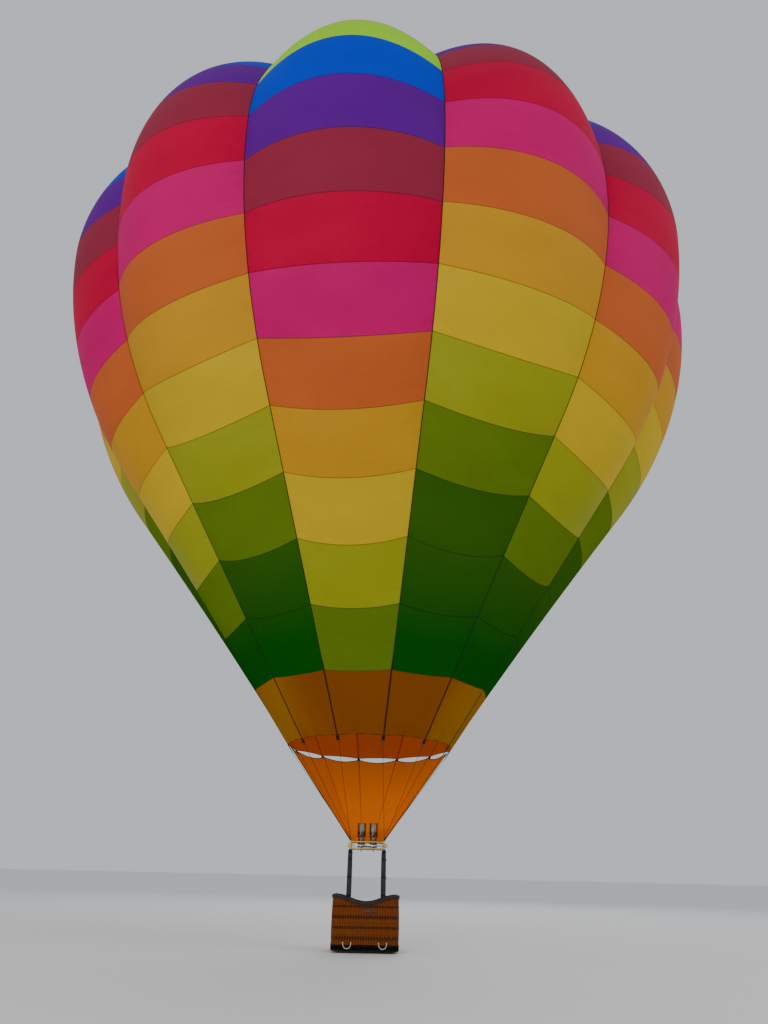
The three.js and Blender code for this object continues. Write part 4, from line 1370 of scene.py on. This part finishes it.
# Heat leaves the foot of a can darker than its top
def stainBelow(material, low, high, stain):
    tree = material.node_tree
    target = tree.nodes["Principled BSDF"].inputs["Base Color"]
    share = rangeNode(tree, axes(tree, objectPlace(tree))[2], low - envelope["liftHeight"],
                      high - envelope["liftHeight"], smooth=True)
    link(tree, mixColour(tree, share, stain, target.links[0].from_socket), target)


stainBelow(canSteel, can["shroudFoot"] + 0.02, can["shroudFoot"] + 0.11, (0.10, 0.065, 0.035))


def makeCan(name, side):
    x = side * block["spacing"] / 2
    shape = Shape()
    at = placed(x, 0, 0)
    radius, lip, wall, neck, foot, top, flange, base, neckTop = (can[key] for key in (
        "radius", "lip", "wall", "neckRadius", "shroudFoot", "top", "flangeTop", "base", "neckTop"))
    shape.turn([(radius, foot), (radius, top - 0.016), (lip - 0.004, top - 0.009), (lip, top - 0.004),
                (lip - 0.003, top), (lip - 0.008, top - 0.002), (radius - wall, top - 0.014),
                (radius - wall, foot), (radius, foot)], at, 56)
    shape.turn([(radius + 0.003, foot - 0.006), (radius + 0.003, foot + 0.012), (radius - 0.001, foot + 0.012),
                (radius - 0.001, foot - 0.006), (radius + 0.003, foot - 0.006)], at, 56)
    shape.turn([(0.02, neckTop), (lip - 0.003, neckTop), (lip, neckTop + 0.004), (lip, flange - 0.003),
                (lip - 0.003, flange), (radius, flange + 0.004), (0.02, flange + 0.004), (0.02, neckTop)],
               at, 56)
    for angle in around(can["slots"], 0.5):
        out, turn = heading(angle), Matrix.Rotation(angle, 3, "Z")
        shape.box(levelled(x, 0, (flange + foot) / 2) + out * (radius - 0.0015),
                  (0.003, 0.016, foot - flange + 0.004), 0, turn)
        blade = levelled(x, 0, (base + neckTop) / 2 + 0.006) + out * (neck - 0.001)
        shape.box(blade, (0.0025, 0.021, 0.128), 1, turn)
    coil, steps, turns = can["coilRadius"], can["coilSteps"], can["coilTurns"]
    helix = []
    for i in range(turns * steps + 1):
        angle = 2 * pi * i / steps
        height = flange + can["coilFoot"] + (top - can["coilTop"] - flange) * i / (turns * steps)
        helix.append(levelled(x + coil * cos(angle), coil * sin(angle), height))
    shape.sweep(helix, circle(can["coilTube"], 10), 1, side=(0, 0, 1))
    shape.ring(levelled(x, 0, flange + 0.03), (0, 0, 1), can["jetRing"], 0.006, 2, 32)
    for angle in around(can["jets"]):
        spot = levelled(x + can["jetRing"] * cos(angle), can["jetRing"] * sin(angle), flange + 0.033)
        shape.rod(spot, spot + raised(0.012), 0.003, 2, 10)
    shape.solid([(0.014, flange), (0.014, flange + 0.05), (0.018, flange + 0.054), (0.018, flange + 0.09),
                 (0.013, flange + 0.09), (0.013, flange + 0.06)], at, 24, 1)
    shape.solid([(neck, base), (neck + 0.004, base + 0.004), (neck + 0.004, base + 0.014),
                 (neck - 0.008, base + 0.022), (0.05, base + 0.045), (0.046, base + 0.10),
                 (0.054, neckTop - 0.016), (neck, neckTop - 0.008), (neck, neckTop + 0.002)], at, 40, 3)
    for k in range(can["studs"]):
        spot = levelled(x, 0, base + 0.008) + heading(pi / 4 + k * pi / 2) * can["studRing"]
        shape.rod(spot, spot + raised(neckTop - base - 0.01), 0.0085, 0, 18)
        for rise in (0.0, 0.115):
            shape.rod(spot + raised(0.006 + rise), spot + raised(0.02 + rise), 0.0125, 2, 6)
    shape.sweep([levelled(x + 0.02, -0.07, base + 0.012), levelled(x + 0.03, -0.09, base + 0.04),
                 levelled(x + 0.02, -0.0935, base + 0.085), levelled(x, -0.092, base + 0.125),
                 levelled(x - 0.005, -0.084, neckTop + 0.002)], circle(0.004, 10), 2)
    piece = shape.make(f"{name}_shroud_and_coil", [canSteel, heatedSteel, brass, castBlock], sharp=40)
    seat(piece, [name], "burner")


makeCan("burner_left", -1)
makeCan("burner_right", 1)
print("burner made")


# Basket materials

# The woven cane is darker than bare cane: its own colour, partly darkened as painted shade for a basket
# standing in shadow
cane = caneMaterial("cane", (0.205, 0.051, 0.007), (0.042, 0.008, 0.002))
stakeCane = caneMaterial("stakeCane", (0.36, 0.13, 0.025), (0.12, 0.04, 0.01))
rimLeather = leatherMaterial("rimLeather", (0.030, 0.019, 0.012), 0.56, 130, 0.2, 0.009)
hideLeather = leatherMaterial("hideLeather", (0.0040, 0.0044, 0.0036), 0.6, gloss=0.02)
patchLeather = leatherMaterial("patchLeather", (0.075, 0.036, 0.018))
lacing = leatherMaterial("lacing", (0.13, 0.065, 0.030), 0.6, 900)
# Floor board and runner wood are darkened far below their own colour: real grain, with painted shade for the
# dark underside of the basket
shadowedAsh = woodMaterial("shadowedAsh", (0.075, 0.046, 0.024), (0.035, 0.020, 0.010), 0, 26, 0.5)
shadowedPlywood = woodMaterial("shadowedPlywood", (0.085, 0.052, 0.027), (0.040, 0.023, 0.011), 1, 18, 0.6)
ropeWhite = webbing("ropeWhite", (0.50, 0.47, 0.36), rib=0.005, roughness=0.85)


# Basket: stakes and woven strands on a rounded outline whose top edge dips at the front and back

basket = {
    "halfX": 0.725, "halfY": 0.55, "corner": 0.19, "belly": 0.012, "wall": 0.03, "footHeight": 0.0583,
    "endHeight": 1.052, "dip": 0.15, "stakes": 84, "strands": 62, "strandRadius": 0.0094, "strandSides": 5,
    "strandClear": 0.004, "sway": 0.0066, "wander": 0.0009, "stakeRadius": 0.0052, "stakeSides": 6,
    "stakeSteps": 14, "stakeClear": 0.012, "darkEvery": 0.2, "darkStrands": 3, "stepWidth": 0.24,
    "stepHeight": 0.11, "stepLevel": 0.43, "stepCorner": 0.02, "stepEdge": 0.011, "seed": 7,
}
wallHeight = basket["endHeight"] - basket["footHeight"]
outlineLength = 4 * (basket["halfX"] + basket["halfY"] - 2 * basket["corner"]) + 2 * pi * basket["corner"]


# A place on the outline: point, outward normal and the way along it, from a share of the way round
def outlinePlace(share, inset=0.0):
    corner = basket["corner"]
    straights = (2 * (basket["halfX"] - corner), 2 * (basket["halfY"] - corner))
    arc = corner * pi / 2
    whole = 2 * (sum(straights) + 2 * arc)
    along = ((share % 1) * whole + straights[0] / 2) % whole
    for k in range(4):
        length, reach = straights[k % 2], (basket["halfY"], basket["halfX"])[k % 2]
        turn = k * pi / 2
        tangent, normal = heading(turn), Vector((sin(turn), -cos(turn), 0))
        if along < length:
            return normal * (reach - inset) + tangent * (along - length / 2), normal, tangent
        along -= length
        if along < arc:
            angle = along / corner
            out = normal * cos(angle) + tangent * sin(angle)
            ahead = tangent * cos(angle) - normal * sin(angle)
            return normal * (reach - corner) + tangent * (length / 2) + out * (corner - inset), out, ahead
        along -= arc
    return outlinePlace(0, inset)


def rimHeight(x):
    reach = min(1, abs(x) / basket["halfX"])
    return basket["endHeight"] - basket["dip"] * cos(reach * pi / 2) ** 2


def bellyAt(rise):
    return basket["belly"] * sin(pi * rise)


# A point in the wall: a share of the way round, a share of the way up, and how far in from the face
def wallPoint(share, rise, inset):
    place, normal, _ = outlinePlace(share)
    height = basket["footHeight"] + (rimHeight(place.x) - basket["footHeight"]) * rise
    stand = bellyAt(rise) - inset
    return levelled(place.x + normal.x * stand, place.y + normal.y * stand, height)


def inStepHole(point, margin):
    return (abs(point.x) > basket["halfX"] - 0.1 and abs(point.y) < basket["stepWidth"] / 2 + margin
            and abs(point.z + envelope["liftHeight"] - basket["stepLevel"]) < basket["stepHeight"] / 2 + margin)


def keptRuns(line, kept):
    runs, run = [], []
    for point, stays in zip(line, kept):
        if stays:
            run.append(point)
        elif run:
            runs.append((run, False))
            run = []
    return runs + [(run, False)] if run else runs


# Rows run level, so a strand stops where it meets the rim or a step hole
def splitAtEdges(line, margin):
    kept = [not inStepHole(point, margin) and point.z + envelope["liftHeight"] < rimHeight(point.x) + 0.008
            for point in line]
    if all(kept):
        return [(line, True)]
    start = next(i for i in range(len(line)) if kept[i] and not kept[i - 1])
    return keptRuns(line[start:] + line[:start], kept[start:] + kept[:start])


def makeWeave():
    chance = random.Random(basket["seed"])
    stakes, strands, steps = basket["stakes"], basket["strands"], basket["stakeSteps"]
    middle = basket["wall"] / 2
    lines, tones = [], []
    for row in range(strands):
        height = (row + 0.5) / strands * wallHeight
        dark = (height % basket["darkEvery"]) < basket["darkStrands"] * basket["endHeight"] / strands
        tone = chance.uniform(0.18, 0.3) if dark else chance.uniform(0.72, 1.0)
        line = []
        level = basket["footHeight"] + height
        for step in range(stakes * 3):
            stake, part = divmod(step, 3)
            swing = (-1) ** (stake + row) * (1, 0.5, -0.5)[part]
            wander = chance.uniform(-basket["wander"], basket["wander"])
            share = (stake + part / 3) / stakes
            top = rimHeight(outlinePlace(share)[0].x)
            climb = min(1, (level - basket["footHeight"]) / (top - basket["footHeight"]))
            point = wallPoint(share, climb, middle - basket["sway"] * swing)
            point.z = level - envelope["liftHeight"]
            line.append(point + raised(wander))
        pieces = splitAtEdges(line, basket["strandClear"])
        lines += pieces
        tones += [tone] * len(pieces)
    weave = tubes("basket_weave", lines, basket["strandRadius"], basket["strandSides"], cane, tones)
    seat(weave, ["basket_body"])
    lines = []
    for stake in range(stakes):
        line = [wallPoint(stake / stakes, i / steps, middle) for i in range(steps + 1)]
        lines += keptRuns(line, [not inStepHole(point, basket["stakeClear"]) for point in line])
    tones = [chance.uniform(0.75, 1.0) for _ in lines]
    seat(tubes("basket_stakes", lines, basket["stakeRadius"], basket["stakeSides"], stakeCane, tones))


makeWeave()


# Frames of leather round the two step holes, and sleeves that hold the uprights' feet

sleeve = {
    "x": 0.385, "width": 0.08, "depth": 0.046, "height": 0.13, "sunk": 0.008, "top": 0.8697, "corner": 0.014,
    "shape": ((-0.5, 0.93), (-0.44, 1), (0, 1), (0.44, 1), (0.5, 0.96)), "bands": (-0.28, 0.28),
    "bandHalf": 0.011, "bandSize": 0.005,
}


def makeBasketLeather():
    shape = Shape()
    height, corner = basket["stepLevel"], basket["stepCorner"]
    halfY, halfZ = basket["stepWidth"] / 2, basket["stepHeight"] / 2
    rise = (height - basket["footHeight"]) / wallHeight
    for side in (-1, 1):
        x = side * (basket["halfX"] + bellyAt(rise) - basket["wall"] / 2)
        loop = []
        for cornerY, cornerZ, first in ((1, -1, -1), (1, 1, 0), (-1, 1, 1), (-1, -1, 2)):
            for i in range(5):
                angle = (first + i / 4) * pi / 2
                loop.append(levelled(x, cornerY * (halfY - corner) + (corner - 0.002) * cos(angle),
                                     height + cornerZ * (halfZ - corner) + (corner - 0.002) * sin(angle)))
        shape.strap(loop, basket["wall"] + 0.008, basket["stepEdge"], (1, 0, 0), corner=0.004, closed=True)
        for end in (-1, 1):
            y = basket["halfY"] - basket["wall"] - sleeve["depth"] / 2 + sleeve["sunk"]
            place = levelled(sleeve["x"] * side, end * y, sleeve["top"] - sleeve["height"] / 2)
            width, depth = sleeve["width"], sleeve["depth"]
            shape.sweep([place + raised(z * sleeve["height"]) for z, _ in sleeve["shape"]],
                        slab(width, depth, sleeve["corner"], 4), 1, sizes=[size for _, size in sleeve["shape"]],
                        side=(1, 0, 0))
            section = slab(width + sleeve["bandSize"], depth + sleeve["bandSize"], sleeve["corner"] + 0.001, 4)
            for z in sleeve["bands"]:
                shape.sweep([place + raised(z * sleeve["height"] + step * sleeve["bandHalf"])
                             for step in (-1, 1)], section, side=(1, 0, 0))
    piece = shape.make("basket_step_frames_and_sleeves", [patchLeather, hideLeather], bevel=0.0015)
    seat(piece)


makeBasketLeather()


# Rim: a leather roll on the wall's top edge, laced down over the strands

rim = {
    "radius": 0.034, "rise": 0.032, "steps": 264, "sides": 18, "crease": 0.06, "stitch": 0.0031,
    "stitchEvery": 0.038, "stitchDrop": 0.047, "stitchOut": 0.0035,
}


def rimCentre(share):
    place, normal, ahead = outlinePlace(share, basket["wall"] / 2)
    return levelled(place.x, place.y, rimHeight(place.x) + rim["rise"]), normal, ahead


def makeRim():
    shape = Shape()
    chance = random.Random(basket["seed"] + 1)
    steps = rim["steps"]
    sizes, size = [], 0.0
    for _ in range(steps):
        size = 0.8 * size + chance.uniform(-1, 1) * rim["crease"] * 0.45
        sizes.append(1 + size * 0.6 - 0.01)
    shape.sweep([rimCentre(i / steps)[0] for i in range(steps)], circle(rim["radius"], rim["sides"]), 0, True,
                sizes, (0, 0, 1))
    seat(shape.make("basket_rim_roll", [rimLeather], sharp=60), ["basket_rim"])
    count = round(outlineLength / rim["stitchEvery"])
    places, out = [], basket["wall"] / 2 + rim["stitchOut"]
    for i in range(count):
        centre, normal, ahead = rimCentre((i + 0.5) / count)
        for face in (-1, 1):
            foot = centre + normal * face * out - raised(rim["radius"] * 0.9)
            places.append((foot, normal * face, ahead))
    thong = Shape()
    drop, lift = rim["stitchDrop"] / 2, rim["stitch"]
    thong.sweep([(0.004, -drop, -0.005), (0.002, -drop + 0.004, lift), (0, 0, lift + 0.003),
                 (-0.002, drop - 0.006, lift + 0.007), (-0.004, drop, 0.004)], circle(lift, 7), side=(1, 0, 0))
    seat(scatter("basket_rim_lacing", places, thong.make("thong", [lacing]), lacing))


makeRim()


# Hide band round the foot, with rows of stitches along its edges

hide = {
    "foot": 0.046, "top": 0.16, "thickness": 0.0052, "gap": 0.0016, "wave": 0.005, "ripple": 0.0012,
    "steps": 220, "rows": 8, "stitchEvery": 0.03, "stitchTop": 0.018, "stitchFoot": 0.02,
    "stitchRadius": 0.0014,
}


def hidePlace(share, height, lift):
    place, normal, _ = outlinePlace(share)
    stand = bellyAt(min(1, max(0, (height - basket["footHeight"]) / wallHeight))) + (
        hide["gap"] + hide["thickness"] + lift)
    return levelled(place.x + normal.x * stand, place.y + normal.y * stand, height)


def makeHideBand():
    points = []
    steps, rows = hide["steps"], hide["rows"]
    for i in range(rows + 1):
        for j in range(steps):
            share = j / steps
            edge = hide["top"] + hide["wave"] * sin(share * 46) * cos(share * 19)
            height = hide["foot"] + (edge - hide["foot"]) * i / rows
            ripple = hide["ripple"] * sin(share * 140 + i * 1.3) * sin(i * 0.8)
            points.append(hidePlace(share, height, ripple))
    piece = meshPiece("basket_hide_wrap", points, gridFaces(rows + 1, steps, True), [hideLeather])
    outward(piece)
    thicken(piece, hide["thickness"])
    seat(piece, ["basket_hide_band"])
    count = round(outlineLength / hide["stitchEvery"])
    places = []
    for i in range(count):
        share = (i + 0.5) / count
        _, normal, ahead = outlinePlace(share)
        for height in (hide["top"] - hide["stitchTop"], hide["foot"] + hide["stitchFoot"]):
            places.append((hidePlace(share, height, 0.0002), normal, ahead))
    stitch = Shape()
    stitch.sweep([(-0.008, 0, -0.0015), (-0.005, 0, 0.0012), (0.005, 0, 0.0012), (0.008, 0, -0.0015)],
                 circle(hide["stitchRadius"], 6), side=(0, 1, 0))
    seat(scatter("basket_hide_stitches", places, stitch.make("stitch", [lacing]), lacing))


makeHideBand()


# Floor boards and runners

floorSize = {
    "inset": 0.004, "low": 0.0403, "high": 0.058, "steps": 160, "runnerLength": 1.24, "runnerWidth": 0.062,
    "runnerHeight": 0.04, "runnerSpacing": 0.37, "runnerToe": 0.03,
}


def makeFloor():
    shape = Shape()
    steps = floorSize["steps"]
    shape.loft([[levelled(*outlinePlace(i / steps, floorSize["inset"])[0].xy, height) for i in range(steps)]
                for height in (floorSize["low"], floorSize["high"])])
    seat(shape.make("basket_floor_board", [shadowedPlywood], bevel=0.002), ["basket_floor"])
    half, width, height = floorSize["runnerLength"] / 2, floorSize["runnerWidth"], floorSize["runnerHeight"]
    toe = half - floorSize["runnerToe"]
    low = height * 0.55
    outline = [(-half, height), (-half, low), (-toe, 0), (toe, 0), (half, low), (half, height)]
    for index in range(3):
        shape = Shape()
        y = (index - 1) * floorSize["runnerSpacing"]
        shape.loft([[levelled(x, y + side * width / 2, z) for x, z in outline] for side in (-1, 1)])
        name = f"runner_{index + 1}"
        seat(shape.make(f"{name}_skid", [shadowedAsh], bevel=0.003), [name])


makeFloor()


# Leather grips on the long sides, and spliced rope handles low on each side

handles = {
    "gripX": 0.1, "gripHeight": 0.8, "gripLength": 0.25, "gripWidth": 0.045, "gripThickness": 0.007,
    "gripSteps": 16, "bow": 0.016, "patch": (0.045, 0.008, 0.058), "ropeX": 0.38, "ropeLow": 0.085,
    "ropeHigh": 0.2, "ropeRadius": 0.0085, "ropeSpread": 0.085, "ropeSteps": 14,
}


def makeHandles():
    shape = Shape()
    x, height, length, steps = (handles[key] for key in ("gripX", "gripHeight", "gripLength", "gripSteps"))
    for side in (-1, 1):
        face = side * (basket["halfY"] + basket["belly"])
        line = []
        for i in range(steps + 1):
            share = i / steps
            ease = sin(pi * min(1, max(0, (share - 0.14) / 0.72)))
            y = face + side * (0.001 + handles["bow"] * ease)
            line.append(levelled(x + (share - 0.5) * length, y, height))
        shape.strap(line, handles["gripWidth"], handles["gripThickness"], (0, 0, 1), corner=0.003)
        for end in (-1, 1):
            shape.box(levelled(x + end * (length / 2 - 0.012), face + side * 0.004, height), handles["patch"])
    seat(shape.make("basket_grips", [patchLeather], bevel=0.0012))
    shape = Shape()
    radius, spread, low, high = (handles[key] for key in ("ropeRadius", "ropeSpread", "ropeLow", "ropeHigh"))
    for side in (-1, 1):
        for end in (-1, 1):
            face = side * (basket["halfY"] + basket["belly"] * 0.6 + radius * 0.9)
            x = end * handles["ropeX"]
            line = [levelled(x - spread, face - side * 0.03, high)]
            for i in range(handles["ropeSteps"] + 1):
                angle = pi * i / handles["ropeSteps"]
                drop = (high - low) * 0.9 * sin(angle) ** 0.8
                line.append(levelled(x - spread * cos(angle), face, high - 0.008 - drop))
            line.append(levelled(x + spread, face - side * 0.03, high))
            shape.sweep(line, circle(radius, 12), side=(0, 1, 0))
            for foot in (-1, 1):
                splice = levelled(x + foot * spread, face - side * 0.007, high)
                shape.ring(splice, (0, 1, 0), radius * 1.25, 0.004)
    seat(shape.make("basket_rope_handles", [ropeWhite], uv="weave"))


makeHandles()
print("basket made")


# Padded covers

coverGrey = paddedMaterial("coverGrey", (0.024, 0.025, 0.027))
coverNavy = paddedMaterial("coverNavy", (0.018, 0.022, 0.034))
buckle = plainMaterial("buckle", (0.02, 0.02, 0.021), 0.35, 120)


# Uprights in padded covers, with a zip flap, cuffs and three straps

pole = {
    "topX": 0.38, "topY": 0.38, "footX": 0.385, "footY": 0.462, "footHeight": 0.87, "topHeight": 2.0197,
    "radius": 0.048,
    "sizes": ((0, 0.74), (0.02, 0.93), (0.05, 0.99), (0.35, 1), (0.7, 0.98), (0.94, 0.91), (0.98, 0.84),
              (1, 0.64)),
    "sides": 28, "rows": 90, "wrinkle": 0.05, "straps": (0.2, 0.52, 0.83), "strapWidth": 0.03,
    "strapPinch": 0.945, "cuffs": (0.035, 0.955), "cuffWidth": 0.045, "bandThickness": 0.0024,
    "bandLift": 0.0012, "bandSteps": 36, "pinch": 0.09, "pinchReach": 0.03, "flap": 0.014, "flapAngle": 2.4,
    "flapSteps": 60,
}


def between(table, share):
    for (low, before), (high, after) in zip(table, table[1:]):
        if share <= high:
            return before + (after - before) * (share - low) / (high - low)
    return table[-1][1]


def makeUpright(corner, x, y):
    foot = levelled(x * pole["footX"], y * pole["footY"], pole["footHeight"])
    head = levelled(x * pole["topX"], y * pole["topY"], pole["topHeight"])
    run = (head - foot).normalized()
    aside = run.cross(Vector((x, y, 0)).normalized()).normalized()
    outer = aside.cross(run)

    def facing(angle):
        return outer * cos(angle) + aside * sin(angle)

    def sizeAt(share):
        return pole["radius"] * between(pole["sizes"], share)

    rings = []
    for i in range(pole["rows"] + 1):
        share = i / pole["rows"]
        pinch = max(1 - abs(share - strap) / pole["pinchReach"] for strap in pole["straps"])
        size = sizeAt(share) * (1 - pole["pinch"] * max(0, pinch))
        ring = []
        for angle in around(pole["sides"]):
            fold = sin(share * 61 + 2 * sin(angle * 2 + x) + y) * sin(share * 23 + angle)
            radius = size * (1 + pole["wrinkle"] * 0.5 * fold * min(1, share * 12, (1 - share) * 12) - 0.012)
            ring.append(foot.lerp(head, share) + facing(angle) * radius)
        rings.append(ring)
    shape = Shape()
    shape.loft(rings)
    name = f"upright_{corner}"
    piece = seat(shape.make(f"{name}_cover", [coverGrey], sharp=70), [name])
    trim = Shape()
    for share in pole["straps"] + pole["cuffs"]:
        strapped = share in pole["straps"]
        size = sizeAt(share) * (pole["strapPinch"] if strapped else 1.0)
        centre = foot.lerp(head, share)
        trim.strap([centre + facing(angle) * (size + pole["bandLift"]) for angle in around(pole["bandSteps"])],
                   pole["strapWidth" if strapped else "cuffWidth"], pole["bandThickness"], run, closed=True)
        if strapped:
            turn = Matrix((aside, outer, run)).transposed()
            trim.box(centre + outer * (size + 0.004), (0.036, 0.006, 0.04), 1, turn)
            trim.box(centre + outer * (size + 0.0075) - aside * 0.006, (0.012, 0.004, 0.03), 1, turn)
            tail = centre + outer * (size + 0.003) + aside * 0.016
            trim.strap([tail, tail + aside * 0.016 - outer * 0.004 - run * 0.008,
                        tail + aside * 0.022 - outer * 0.009 - run * 0.035], 0.024, 0.002, run)
    flapAngle, steps = pole["flapAngle"], pole["flapSteps"]
    shares = [0.05 + 0.9 * i / steps for i in range(steps + 1)]
    trim.strap([foot.lerp(head, share) + facing(flapAngle) * (sizeAt(share) * 0.995) for share in shares],
               pole["flap"], 0.005, outer * sin(flapAngle) - aside * cos(flapAngle), 1, 0.002)
    seat(trim.make(f"{name}_straps", [tapeBlack, buckle], uv="weave"))


for frameCorner in frameCorners:
    makeUpright(*frameCorner)


# Fuel tanks in quilted jackets, held to the wall by two straps, each under a covered guard collar

tank = {
    "x": 0.52, "y": 0.335, "radius": 0.152, "base": 0.0583, "height": 0.7, "footCurve": 0.03,
    "topCurve": 0.05, "footSteps": (0.0, 0.004, 0.012, 0.022, 0.03), "bodySteps": 48, "topSteps": 8,
    "collarRadius": 0.1, "collarHeight": 0.09, "sides": 64, "channels": 16, "puff": 0.0045,
    "unevenness": 0.0012, "seams": (0.18, 0.5, 0.82), "straps": (0.3, 0.68), "strapWidth": 0.04,
    "strapThickness": 0.0026, "strapLift": 0.0015, "strapSteps": 72, "collarStrap": (0.012, 0.003),
    "collarSteps": 56, "crownWidth": 0.03,
}


def tankRadius(height):
    foot, top = tank["footCurve"], tank["height"] - tank["topCurve"]
    if height < foot:
        return tank["radius"] - foot + sqrt(max(0, foot ** 2 - (foot - height) ** 2))
    if height < top:
        return tank["radius"]
    share = (height - top) / tank["topCurve"]
    return tank["radius"] - (tank["radius"] - tank["collarRadius"]) * (1 - sqrt(max(0, 1 - share * share)))


def tankHeights():
    tall, foot, top = tank["height"], tank["footCurve"], tank["topCurve"]
    body, steps = tank["bodySteps"], tank["topSteps"]
    heights = [*tank["footSteps"]] + [foot + (tall - foot - top) * i / body for i in range(1, body + 1)]
    return heights + [tall - top + top * (1 - (1 - i / steps) ** 2) for i in range(1, steps + 1)]


def makeTank(corner, x, y):
    centreX, centreY = x * tank["x"], y * tank["y"]

    def tankPoint(angle, radius, height):
        return levelled(centreX + radius * cos(angle), centreY + radius * sin(angle), height)

    rings = []
    for height in tankHeights():
        share = height / tank["height"]
        seam = min(abs(share - seamShare) for seamShare in tank["seams"])
        ring = []
        for angle in around(tank["sides"]):
            channel = abs(sin(angle * tank["channels"] / 2))
            body = 1 if 0.05 < share < 0.92 else 0
            puff = tank["puff"] * body * (channel ** 0.5 - 1)
            puff -= tank["puff"] * 1.2 * exp(-(seam / 0.012) ** 2) * body
            puff += tank["unevenness"] * sin(angle * 5 + height * 31 + x) * body
            ring.append(tankPoint(angle, tankRadius(height) + puff, tank["base"] + height))
        rings.append(ring)
    shape = Shape()
    shape.loft(rings)
    at = placed(centreX, centreY, tank["base"] + tank["height"])
    collar, rise = tank["collarRadius"], tank["collarHeight"]
    shape.turn([(0, -0.01), (collar - 0.001, -0.01), (collar, 0.006), (collar + 0.0015, rise * 0.5),
                (collar - 0.001, rise - 0.018), (collar - 0.006, rise - 0.006), (collar - 0.016, rise - 0.001),
                (collar * 0.5, rise - 0.002), (0, rise - 0.004)], at, 56)
    name = f"fuel_tank_{corner}"
    piece = seat(shape.make(f"{name}_jacket", [coverNavy], sharp=60), [name])
    trim = Shape()
    out = Vector((x * 0.8, y * 0.6, 0)).normalized()
    inward = -out
    turn = Matrix((inward.cross((0, 0, 1)), inward, Vector((0, 0, 1)))).transposed()
    for share in tank["straps"]:
        height = tank["base"] + tank["height"] * share
        band = [tankPoint(angle, tank["radius"] + tank["strapLift"], height)
                for angle in around(tank["strapSteps"])]
        trim.strap(band, tank["strapWidth"], tank["strapThickness"], (0, 0, 1), closed=True)
        face = levelled(centreX, centreY, height) + inward * (tank["radius"] + 0.005)
        trim.box(face, (0.05, 0.008, 0.048), 1, turn)
        trim.box(face + inward * 0.004, (0.03, 0.006, 0.03), 1, turn)
    for height, radius in ((0.012, collar + 0.002), (rise - 0.03, collar + 0.001)):
        loop = [at @ Vector((radius * cos(angle), radius * sin(angle), height))
                for angle in around(tank["collarSteps"])]
        trim.strap(loop, *tank["collarStrap"], (0, 0, 1), closed=True)
    half = [(collar + 0.002, 0.03), (collar + 0.001, rise - 0.02), (collar - 0.014, rise + 0.001)]
    crown = [(-reach, height) for reach, height in half] + [(0, rise - 0.001)] + half[::-1]
    trim.strap([at @ (out * reach + raised(height)) for reach, height in crown], tank["crownWidth"],
               tank["strapThickness"], out.cross((0, 0, 1)))
    pull = at @ (inward * 0.055 + raised(rise + 0.0005))
    trim.ring(pull, (0, 0, 1), 0.011, 0.0022, 1, 24, 8, 1.3, inward)
    seat(trim.make(f"{name}_straps", [tapeBlack, buckle], uv="weave"))


for frameCorner in frameCorners:
    makeTank(*frameCorner)
print("padded pieces made")


# Stage: a plain pale floor and soft light

stage = {
    "floorSize": 900,
    "floorColour": (0.80, 0.80, 0.79),
    "worldColour": (0.80, 0.84, 0.90),
    "worldStrength": 0.72,
    # place, size, power and colour of each light
    "lights": {
        "frontLight": ((-14, -34, -2), 22, 5200, (1.0, 0.97, 0.93)),
        "rightLight": ((26, -14, 6), 18, 2200, (0.95, 0.97, 1.0)),
        "backLight": ((6, 30, 12), 24, 3200, (1.0, 0.98, 0.95)),
    },
}


def makeStage():
    material, _ = principled("paleFloor", {"Base Color": stage["floorColour"], "Roughness": 0.8})
    half = stage["floorSize"] / 2
    corners = [(x * half, y * half, floorLevel) for x, y in ((-1, -1), (1, -1), (1, 1), (-1, 1))]
    meshPiece("floor", corners, [(0, 1, 2, 3)], [material])
    world = bpy.data.worlds.new("studio")
    world.use_nodes = True
    background = world.node_tree.nodes["Background"]
    background.inputs["Color"].default_value = (*stage["worldColour"], 1)
    background.inputs["Strength"].default_value = stage["worldStrength"]
    bpy.context.scene.world = world
    for name, (place, size, power, colour) in stage["lights"].items():
        data = bpy.data.lights.new(name, "AREA")
        data.shape = "DISK"
        data.size, data.energy, data.color = size, power, colour
        turn = (-Vector(place)).to_track_quat("-Z", "Y").to_matrix().to_4x4()
        addObject(name, data).matrix_world = Matrix.Translation(place) @ turn


makeStage()
